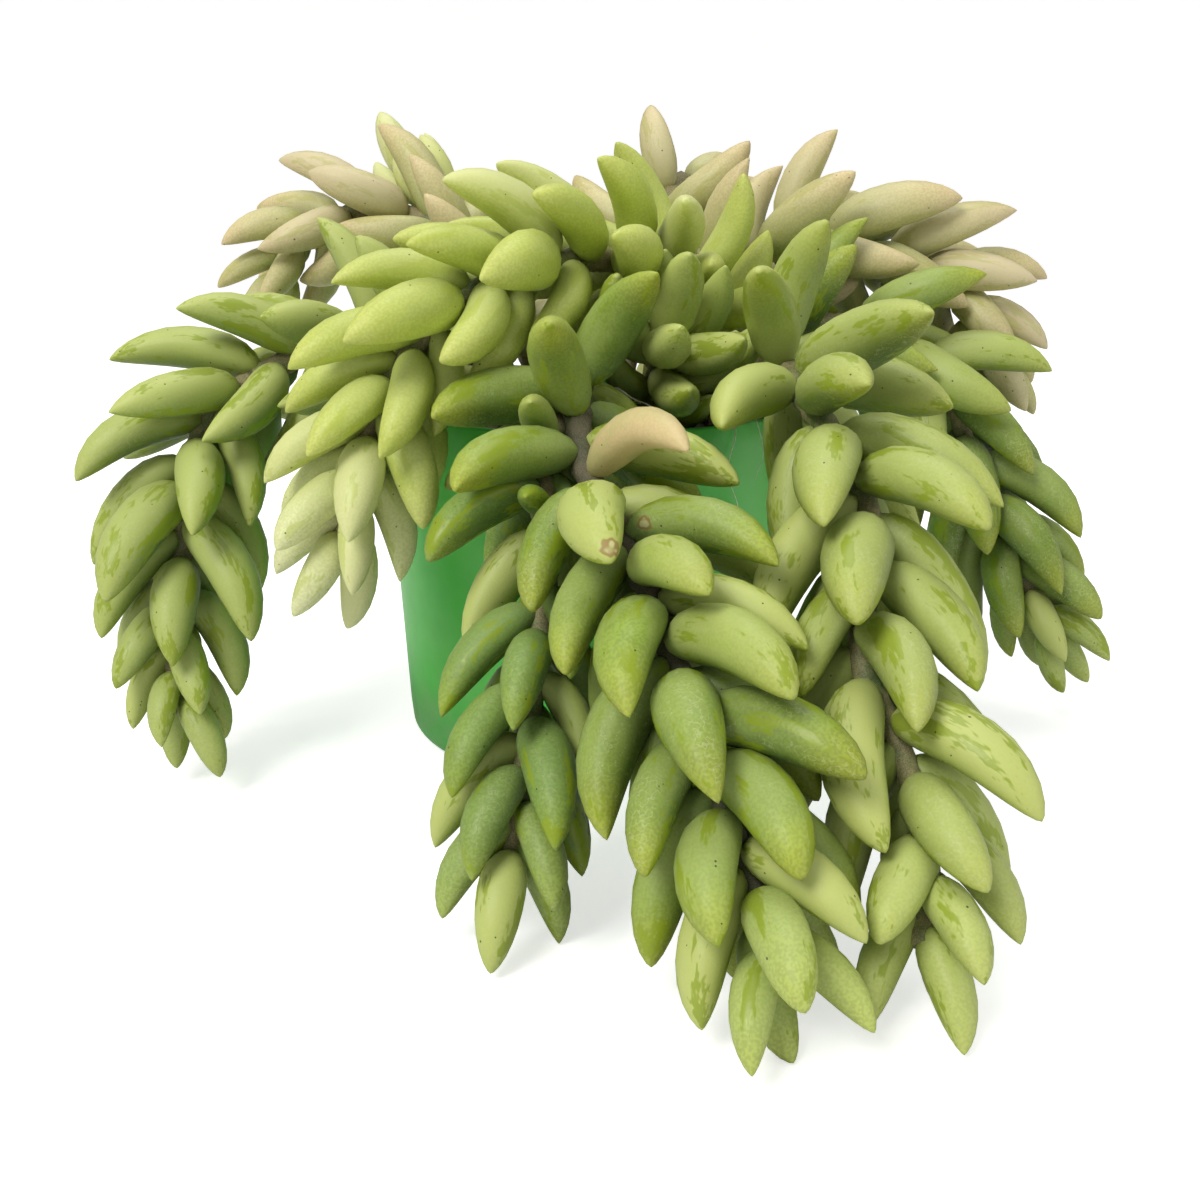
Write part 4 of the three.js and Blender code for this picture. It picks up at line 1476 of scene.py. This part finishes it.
@dataclass(frozen=True)
class LeafForm:
    """Shape of one fine leaf, in shares of its length and width.

    Sun from is the way to the light that sets the painted light and shade of the skin. Leaves whose
    tint is past bleached from are bleached. Place reach is how far apart, in mm, the leaves' own
    places for the skin's patterns are drawn.
    """

    rings: int = 11
    columns: int = 18
    widest: float = 0.33
    taper: tuple[float, float] = (2.2, 3.0)
    bluntness: tuple[float, float] = (0.66, 0.86)
    stoutness: tuple[float, float] = (0.88, 0.98)
    sway: float = 0.05
    outer_depth: float = 0.95
    inner_depth: float = 0.8
    dent: float = 0.03
    shrivel: float = 0.2
    curl: float = 0.1
    bleached: float = 0.9
    bleached_from: float = 0.62
    bleached_over: float = 0.3
    place_reach: float = 400.0
    sun_from: Point = (-0.33, -0.38, 0.86)

    def outline(self, share: np.ndarray, taper: np.ndarray, bluntness: np.ndarray) -> np.ndarray:
        """Gives the half width along leaves: a round foot, then a long curve to a blunt tip.

        Up to the widest place it is a quarter of an ellipse. From there it is 1 - v^taper to the
        power of the bluntness, where v runs from 0 to 1 at the tip.

        Args:
            share: shares of the length.
            taper: one power for each leaf, which keeps the leaf stout for longer the higher it is.
            bluntness: one power for each leaf, which makes a rounder tip the lower it is.

        Returns:
            One row for each leaf, in shares of half its width.
        """
        foot = np.sqrt(1.0 - (1.0 - np.minimum(share / self.widest, 1.0)) ** 2)
        v = np.maximum(share - self.widest, 0.0) / (1.0 - self.widest)
        return foot * (1.0 - v ** taper[:, None]) ** bluntness[:, None]

    def half_widths(self, leaves: LeafRows, share: np.ndarray, angle: np.ndarray,
                    draw: np.random.Generator) -> np.ndarray:
        """Gives the leaves' half widths, with their outline and two gentle waves round them.

        It is half the width times the outline, times 1 plus the dent times the sum of cos(2a) and
        six tenths of cos(3a), each with a drawn turn, and the second twists along the leaf.

        Args:
            leaves: the leaves.
            share: shares of the length.
            angle: angles round the leaf.
            draw: the stem's draws.

        Returns:
            One number for each leaf, share and angle, in mm.
        """
        count = len(leaves.stem)
        outline = self.outline(share, draw.uniform(*self.taper, count), draw.uniform(*self.bluntness, count))
        half = (leaves.width / 2 * draw.uniform(*self.stoutness, count))[:, None, None] * outline[:, :, None]
        turns = draw.uniform(0.0, 2 * math.pi, (2, count, 1, 1))
        wave = np.cos(2 * angle + turns[0]) + 0.6 * np.cos(3 * angle + turns[1] + 2.0 * share[:, None])
        return half * (1.0 + self.dent * wave)

    def sunlight(self, facing: np.ndarray) -> np.ndarray:
        """Returns how far directions face the sun, from 0 to 1."""
        return 0.5 + 0.5 * (facing @ unit(np.array(self.sun_from)))

    def surface(self, leaves: LeafRows, plan: StemPlan) -> Surface:
        """Shapes all leaves of a stem at once.

        A point is the middle line at u, plus the half width at u, along across cos a + upwards
        sin a, where upwards is the leaf's outer side and is a little deeper than the inner one. The
        whole leaf sways sideways by a drawn share of its length times u (1 - u). Tanned leaves are
        thinner and bow further out. The leaves of the highest tints are bleached too, by a smooth
        step.

        Args:
            leaves: the stem's leaves.
            plan: the stem's plan, whose seed draws the dents and tints.

        Returns:
            The leaves as one surface, with marks for their material.
        """
        draw = np.random.default_rng(plan.seed)
        count = len(leaves.stem)
        tan = np.isin(leaves.number, plan.tanned).astype(float)
        leaves = replace(
            leaves, width=leaves.width * (1.0 - self.shrivel * tan), bow=leaves.bow + self.curl * tan,
        )
        share = 0.5 - 0.5 * np.cos(math.pi * np.arange(1, self.rings + 1) / (self.rings + 1))
        angle = round_steps(self.columns)
        half = self.half_widths(leaves, share, angle, draw)
        depth = np.where(np.sin(angle) > 0, self.outer_depth, self.inner_depth)
        wide, deep = half * np.cos(angle), half * np.sin(angle) * depth
        across = unit(np.cross(leaves.direction, leaves.outward()))
        upwards = np.cross(across[:, None], leaves.middle_tangent(share))
        sway = draw.uniform(-self.sway, self.sway, (count, 1)) * 4 * leaves.length[:, None] * share * (1 - share)
        middle = leaves.middle_line(share) + sway[..., None] * across[:, None]
        body = middle[:, :, None] + wide[..., None] * across[:, None, None] + deep[..., None] * upwards[:, :, None]
        facing = np.cos(angle)[:, None] * across[:, None, None] + np.sin(angle)[:, None] * upwards[:, :, None]
        end_sun = self.sunlight(leaves.direction)[:, None]
        along = np.broadcast_to(share[:, None] * leaves.length[:, None, None], half.shape)
        local = np.stack([wide, along, deep], axis=-1).reshape(count, -1, 3)
        end_place = np.zeros((count, 2, 3))
        end_place[:, 1, 1] = leaves.length
        shift = draw.uniform(0.0, self.place_reach, (count, 1, 3))
        for home, (number, _) in enumerate(plan.scars):
            shift[leaves.number == number] = scar_home(home)
        tint = draw.random(count)
        bleached = self.bleached * smooth((tint - self.bleached_from) / self.bleached_over)
        sunned = np.maximum(np.interp(leaves.number, (0, plan.leaves - 1), plan.sunned), bleached)
        points = self.rings * self.columns + 2
        quads, triangles = ring_faces(self.rings, self.columns)
        return Surface(
            np.concatenate([
                body.reshape(count, -1, 3), leaves.middle_line(np.array([0.0, 1.0])),
            ], axis=1).reshape(-1, 3),
            repeated(quads, count, points),
            repeated(triangles, count, points),
            {
                "leaf_along": np.tile(np.concatenate([np.repeat(share, self.columns), [0.0, 1.0]]), count),
                # leaf_sun: how far each point faces the light, for the skin's painted light and shade.
                "leaf_sun": np.concatenate([
                    self.sunlight(unit(facing)).reshape(count, -1), end_sun, end_sun,
                ], axis=1).ravel(),
                "leaf_tint": np.repeat(tint, points),
                "leaf_young": np.repeat(leaves.young, points),
                "leaf_tan": np.repeat(tan, points),
                "leaf_sunned": np.repeat(sunned, points),
                "leaf_place": (np.concatenate([local, end_place], axis=1) + shift).reshape(-1, 3) * MM,
            },
        )


class StemLayer(IntEnum):
    """The material slots of a leafy stem's piece."""

    LEAF = 0
    BARK = 1
    THREAD = 2


@dataclass
class LeafyStem:
    """One leafy stem: bark, its plump leaves and a few dry root threads, in mm."""

    plan: StemPlan
    axis: Axis
    leaves: LeafRows
    form: LeafForm = field(default_factory=LeafForm)
    bark_step: float = 1.5
    bark_columns: int = 10
    root_depth: float = 0.4
    knobs: float = 0.1
    knob_turn: float = 2.4
    thread_radius: float = 0.16
    thread_columns: int = 6
    thread_thinning: float = 0.75
    thread_wave: float = 0.35
    thread_turns: float = 31.0

    def bark(self) -> Surface:
        """Shapes the bark: a tube that thins to its tip, with low knobs where leaves fell.

        The radius is the stem's own, times 1 plus a wave of cos(2a + turn) whose turn runs up the
        stem by the golden angle for every step.

        Returns:
            The bark.
        """
        count = int((self.axis.length - self.root_depth) / self.bark_step) + 1
        distance = np.linspace(self.root_depth, self.axis.length, count)
        point, _, normal, side = self.axis.at(distance)
        knob = np.cos(2 * round_steps(self.bark_columns)[None] + np.arange(count)[:, None] * self.knob_turn)
        radius = self.axis.radius(distance)[:, None] * (1.0 + self.knobs * knob)
        return tube(point, normal, side, radius, self.bark_columns, StemLayer.BARK)

    def root_threads(self) -> list[Surface]:
        """Shapes thin dry roots: tubes that thin to a quarter along a smooth line, with a fine wave.

        Returns:
            One surface for each thread.
        """
        result = []
        for path in self.plan.threads:
            line = Axis(path)
            share = np.linspace(0.0, 1.0, len(line.points))
            side = np.cross(line.tangents, line.normals)
            middle = line.points + side * (self.thread_wave * np.sin(share * self.thread_turns))[:, None]
            radius = self.thread_radius * (1.0 - self.thread_thinning * share)
            result.append(tube(middle, line.normals, side, radius, self.thread_columns, StemLayer.THREAD))
        return result

    def build(self, materials: dict[StemLayer, bpy.types.Material]) -> bpy.types.Object:
        """Builds the stem's piece, which stands for its plain one.

        Args:
            materials: the material of each layer.

        Returns:
            The piece.
        """
        surfaces = [self.form.surface(self.leaves, self.plan), self.bark(), *self.root_threads()]
        piece = build_piece(f"{self.plan.name}_fine", surfaces, [materials[layer] for layer in StemLayer])
        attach(piece, BODY)
        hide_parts(self.plan.name)
        LOG.info("%s: %d leaves, %d faces", piece.name, len(self.leaves.stem), len(piece.data.polygons))
        return piece


@dataclass
class NurseryPot:
    """The thin round plastic pot, open at the top, with drain holes in its floor, in mm.

    Outside and inside, the plain wall runs between a height over the floor and a drop below the
    rim. Crease is the angle, in degrees, past which an edge stays sharp.
    """

    shape: PotShape = field(default_factory=PotShape)
    columns: int = 120
    wall_from: float = 6.0
    wall_drop: float = 3.0
    wall_rings: int = 12
    foot_steps: int = 8
    rim_steps: int = 5
    foot_flat: float = 4.0
    floor_middle: float = 10.0
    hole_columns: int = 32
    hole_turn: float = 45.0
    hole_span: tuple[float, float] = (-3.0, 6.0)
    crease: float = 42.0

    @staticmethod
    def arc(middle: tuple[float, float], radius: float, start: float, end: float, steps: int) -> np.ndarray:
        """Returns points of an arc as rows of radius and height, with angles in degrees."""
        turn = np.radians(np.linspace(start, end, steps + 1))
        return np.stack([middle[0] + radius * np.cos(turn), middle[1] + radius * np.sin(turn)], axis=1)

    def body(self) -> Surface:
        """Turns the wall's profile: up the outside, over the rim and down the inside.

        Returns:
            The pot without its holes.
        """
        shape = self.shape
        foot = shape.foot_radius - shape.foot_round
        heights = np.linspace(self.wall_from, shape.height - self.wall_drop, self.wall_rings)
        outside = np.stack([shape.radius(heights), heights], axis=1)
        inside = np.stack([shape.radius(heights) - shape.wall, heights], axis=1)[::-1]
        rim = shape.height - shape.rim_round
        profile = np.concatenate([
            [[0.0, 0.0], [foot - self.foot_flat, 0.0]],
            self.arc((foot, shape.foot_round), shape.foot_round, -90, 0, self.foot_steps),
            outside,
            self.arc((shape.rim_radius - shape.rim_round, rim), shape.rim_round, 0, 90, self.rim_steps),
            self.arc((shape.rim_radius - shape.wall + shape.rim_round, rim), shape.rim_round, 90, 180, self.rim_steps),
            inside,
            [[shape.radius(shape.floor) - shape.wall, shape.floor], [self.floor_middle, shape.floor]],
            [[0.0, shape.floor]],
        ])
        return lathe(profile, self.columns)

    def drains(self) -> list[Surface]:
        """Stands up the rods that the drain holes are cut with.

        Returns:
            One closed rod for each hole.
        """
        shape = self.shape
        low, high = self.hole_span
        profile = np.array([[0.0, low], [shape.drain_radius, low], [shape.drain_radius, high], [0.0, high]])
        rods = []
        for i in range(shape.drain_count):
            turn = math.radians(self.hole_turn + 360 * i / shape.drain_count)
            rod = lathe(profile, self.hole_columns)
            rod.points += np.array([shape.drain_ring * math.cos(turn), shape.drain_ring * math.sin(turn), 0.0])
            rods.append(rod)
        return rods

    def build(self, material: bpy.types.Material) -> bpy.types.Object:
        """Builds the pot and cuts its drain holes.

        Args:
            material: the plastic.

        Returns:
            The piece.
        """
        pot = build_piece("pot_shell", [self.body()], [material])
        cutter = build_piece("drain_rods", self.drains(), [material])
        cut = pot.modifiers.new("drains", "BOOLEAN")
        cut.object = cutter
        cut.operation = "DIFFERENCE"
        cut.solver = "EXACT"
        bpy.context.view_layer.update()
        finished = bpy.data.meshes.new_from_object(pot.evaluated_get(bpy.context.evaluated_depsgraph_get()))
        pot.modifiers.clear()
        pot.data = finished
        pot.data.name = "pot_shell"
        bpy.data.objects.remove(cutter)
        pot.data.set_sharp_from_angle(angle=math.radians(self.crease))
        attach(pot, BODY)
        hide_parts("pot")
        LOG.info("%s: %d faces", pot.name, len(pot.data.polygons))
        return pot


@dataclass
class SoilBed:
    """The potting mix: a body with a lumpy mound on top, crumbs and a few bits of perlite, in mm.

    Wave reaches are the turns, in radians for each mm, of the waves that make the top lumpy, which
    flatten to the edge share of their height within the edge width. Crumbs and perlite lie sunk by
    all but the lift of their radius.
    """

    shape: PotShape = field(default_factory=PotShape)
    columns: int = 110
    rings: int = 30
    side_rings: int = 6
    side_drop: float = 0.6
    top_drop: float = 0.3
    wave_height: float = 0.275
    wave_reaches: tuple[float, ...] = (0.35, 0.6, 1.0, 1.6, 2.4)
    edge_share: float = 0.25
    edge_width: float = 2.0
    crumbs: int = 420
    crumb_sizes: tuple[float, float] = (0.4, 1.25)
    perlite: int = 16
    perlite_sizes: tuple[float, float] = (0.6, 1.3)
    lump_margin: float = 1.6
    lump_lift: float = 0.3
    seed: int = 7

    def mound(self, place: np.ndarray) -> np.ndarray:
        """Gives the lumpy height of the top: the mound plus a sum of drawn waves in x and y.

        Args:
            place: points in mm.

        Returns:
            The height at each point.
        """
        draw = np.random.default_rng(self.seed)
        height = self.shape.soil_height(np.hypot(place[..., 0], place[..., 1]))
        for reach in self.wave_reaches:
            way = draw.uniform(0, 2 * math.pi)
            turn = draw.uniform(0, 2 * math.pi, 2)
            first = place[..., 0] * math.cos(way) + place[..., 1] * math.sin(way)
            second = place[..., 1] * math.cos(way) - place[..., 0] * math.sin(way)
            height = height + self.wave_height * np.sin(first * reach + turn[0]) * np.sin(second * reach + turn[1])
        return height

    def body(self) -> Surface:
        """Shapes the closed body: a flat bottom, a side along the pot's wall and the lumpy top.

        Returns:
            The body.
        """
        shape = self.shape
        bottom = shape.floor + shape.soil_gap
        heights = np.linspace(bottom, shape.soil_edge - self.side_drop, self.side_rings)
        side = np.stack([shape.soil_radius(heights), heights], axis=1)
        top_radius = shape.soil_radius(shape.soil_edge)
        radii = np.linspace(top_radius, 1.0, self.rings)
        top = np.stack([radii, shape.soil_height(radii)], axis=1)
        profile = np.concatenate([[[0.0, bottom]], side, top, [[0.0, float(shape.soil_height(np.array(0.0)))]]])
        surface = lathe(profile, self.columns)
        plain = surface.points[:, 2]
        upper = plain > shape.soil_edge - self.top_drop
        edge = smooth((top_radius - np.hypot(surface.points[:, 0], surface.points[:, 1])) / self.edge_width)
        lift = (self.mound(surface.points) - plain) * (self.edge_share + (1.0 - self.edge_share) * edge)
        surface.points[:, 2] = np.where(upper, plain + lift, plain)
        return surface

    def scattered(self, count: int, seed: int, sizes: tuple[float, float], material: int) -> Surface:
        """Lays lumps at drawn places on the top, evenly over its area.

        Args:
            count: number of lumps.
            seed: the seed of the draws.
            sizes: the least and the greatest radius.
            material: the material slot.

        Returns:
            All lumps as one surface.
        """
        draw = np.random.default_rng(seed)
        reach = self.shape.soil_radius(self.shape.soil_edge) - self.lump_margin
        radius = reach * np.sqrt(draw.random(count))
        angle = draw.uniform(0, 2 * math.pi, count)
        drawn = draw.uniform(*sizes, count)
        places = np.stack([radius * np.cos(angle), radius * np.sin(angle), np.zeros(count)], axis=1)
        places[:, 2] = self.mound(places) + drawn * self.lump_lift
        return lumps(places, drawn, seed + 1, material)

    def build(self, soil: bpy.types.Material, perlite: bpy.types.Material) -> bpy.types.Object:
        """Builds the soil's piece, which stands for its plain one.

        Args:
            soil: the potting mix's material.
            perlite: the bits' material.

        Returns:
            The piece.
        """
        surfaces = [
            self.body(),
            self.scattered(self.crumbs, self.seed + 10, self.crumb_sizes, material=0),
            self.scattered(self.perlite, self.seed + 20, self.perlite_sizes, material=1),
        ]
        piece = build_piece("soil_bed", surfaces, [soil, perlite])
        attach(piece, BODY)
        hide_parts("soil")
        LOG.info("%s: %d faces", piece.name, len(piece.data.polygons))
        return piece


@dataclass(frozen=True)
class PaperFinish:
    """White paper with faint clouds, which glows a little where the camera sees it."""

    name: str = "white paper sweep"
    light: Color = (0.84, 0.84, 0.84)
    dull: Color = (0.8, 0.8, 0.8)
    glow: float = 0.62

    def material(self) -> bpy.types.Material:
        """Builds the paper.

        Returns:
            The finished material.
        """
        sheet = FinishSheet(self.name)
        seen = sheet.add("ShaderNodeLightPath").outputs["Is Camera Ray"]
        sheet.material.cycles.emission_sampling = "NONE"
        return sheet.dressed({
            "Base Color": sheet.blend(sheet.noise(sheet.object_place(), 3.0, 0.0), self.dull, self.light),
            "Roughness": 0.9,
            "Specular IOR Level": 0.1,
            "Emission Color": (1.0, 1.0, 1.0, 1.0),
            "Emission Strength": sheet.times(seen, self.glow),
        })


@dataclass(frozen=True)
class SoftLight:
    """A round soft light that faces the plant, in metres and watts."""

    name: str
    place: Point
    size: float
    power: float
    color: Color = (1.0, 1.0, 1.0)
    aim: Point = (0.0, -0.02, 0.06)

    def hang(self) -> None:
        """Hangs the light and turns it to the plant."""
        light = bpy.data.lights.new(self.name, "AREA")
        light.shape = "DISK"
        light.size = self.size
        light.energy = self.power
        light.color = self.color
        lamp = add_object(self.name, light)
        lamp.location = self.place
        way = np.array(self.aim) - np.array(self.place)
        flat = math.hypot(way[0], way[1])
        lamp.rotation_euler = (math.atan2(flat, -way[2]), 0.0, math.atan2(way[1], way[0]) - math.pi / 2)


@dataclass
class Studio:
    """A plain pale sweep, soft lights from the upper left and front, and the camera, in metres."""

    floor_rings: tuple[float, ...] = (0.05, 0.15, 0.3, 0.6, 1.0)
    floor_radius: float = 1.6
    bend: float = 0.9
    bend_steps: int = 16
    wall: float = 1.0
    columns: int = 96
    lights: tuple[SoftLight, ...] = (
        SoftLight("key", (-0.55, -0.75, 0.95), 0.6, 10.5, (1.0, 0.99, 0.95)),
        SoftLight("fill", (0.9, -0.6, 0.5), 0.9, 2.0, (0.97, 0.99, 1.0)),
        SoftLight("top", (0.0, 0.25, 1.3), 1.0, 7.0),
    )
    surround: float = 0.33
    lens: float = 42.0
    pitch: float = 16.2
    camera_place: Point = (0.0014, -0.27, 0.103)
    nearest: float = 0.01

    def sweep(self) -> bpy.types.Object:
        """Builds the floor, which turns up all round into a wall: a profile turned about +Z.

        Returns:
            The sweep, whose faces look in and up.
        """
        turn = np.radians(np.linspace(-90, 0, self.bend_steps + 1))
        profile = np.concatenate([
            [[radius, 0.0] for radius in self.floor_rings],
            np.stack([self.floor_radius + self.bend * np.cos(turn), self.bend + self.bend * np.sin(turn)], axis=1),
            [[self.floor_radius + self.bend, self.wall]],
        ]) / MM
        points = np.concatenate([turned_rings(profile, self.columns), [[0.0, 0.0, 0.0]]])
        quads, centre = ring_faces(len(profile), self.columns, closed=False)
        floor = build_piece(
            "studio_sweep", [Surface(points, quads[:, ::-1], centre[:, ::-1])], [PaperFinish().material()],
        )
        return floor

    def surroundings(self) -> None:
        """Sets a dim white surround."""
        world = bpy.data.worlds.new("white surround")
        world.use_nodes = True
        background = world.node_tree.nodes["Background"]
        background.inputs["Color"].default_value = (1.0, 1.0, 1.0, 1.0)
        background.inputs["Strength"].default_value = self.surround
        bpy.context.scene.world = world

    def camera(self) -> None:
        """Sets the camera where the photograph was taken."""
        data = bpy.data.cameras.new("viewer")
        data.lens = self.lens
        data.clip_start = self.nearest
        viewer = add_object("viewer", data)
        viewer.location = self.camera_place
        viewer.rotation_euler = (math.radians(90 - self.pitch), 0.0, 0.0)
        bpy.context.scene.camera = viewer

    def build(self) -> None:
        """Builds the sweep, the lights, the surround and the camera."""
        self.sweep()
        for light in self.lights:
            light.hang()
        self.surroundings()
        self.camera()
        bpy.context.scene.view_settings.view_transform = "Standard"


def main() -> None:
    """Builds the studio, the pot, the soil and every leafy stem, and reports each piece."""
    logging.basicConfig(level=logging.INFO, format="%(message)s")
    Studio().build()
    shelf = EffectShelf.filled()
    NurseryPot().build(PotFinish().material(shelf))
    perlite = PaleFinish("perlite", (0.8, 0.8, 0.76), (0.5, 0.48, 0.42))
    SoilBed().build(SoilFinish().material(shelf), perlite.material(shelf))
    barks = {age: finish.material(shelf) for age, finish in BARK_FINISHES.items()}
    threads = PaleFinish("dry root threads", (0.85, 0.82, 0.72), (0.6, 0.54, 0.42), 0.7).material(shelf)
    thicket = Thicket()
    skins = {
        tone: finish.material(shelf, scar_spots([plan for plan in thicket.plans if plan.tone is tone]))
        for tone, finish in LEAF_FINISHES.items()
    }
    for index, plan in enumerate(thicket.plans):
        dressing = {
            StemLayer.LEAF: skins[plan.tone], StemLayer.BARK: barks[plan.bark], StemLayer.THREAD: threads,
        }
        LeafyStem(plan, thicket.axes[index], thicket.of_stem(index)).build(dressing)


if __name__ == "__main__":
    main()
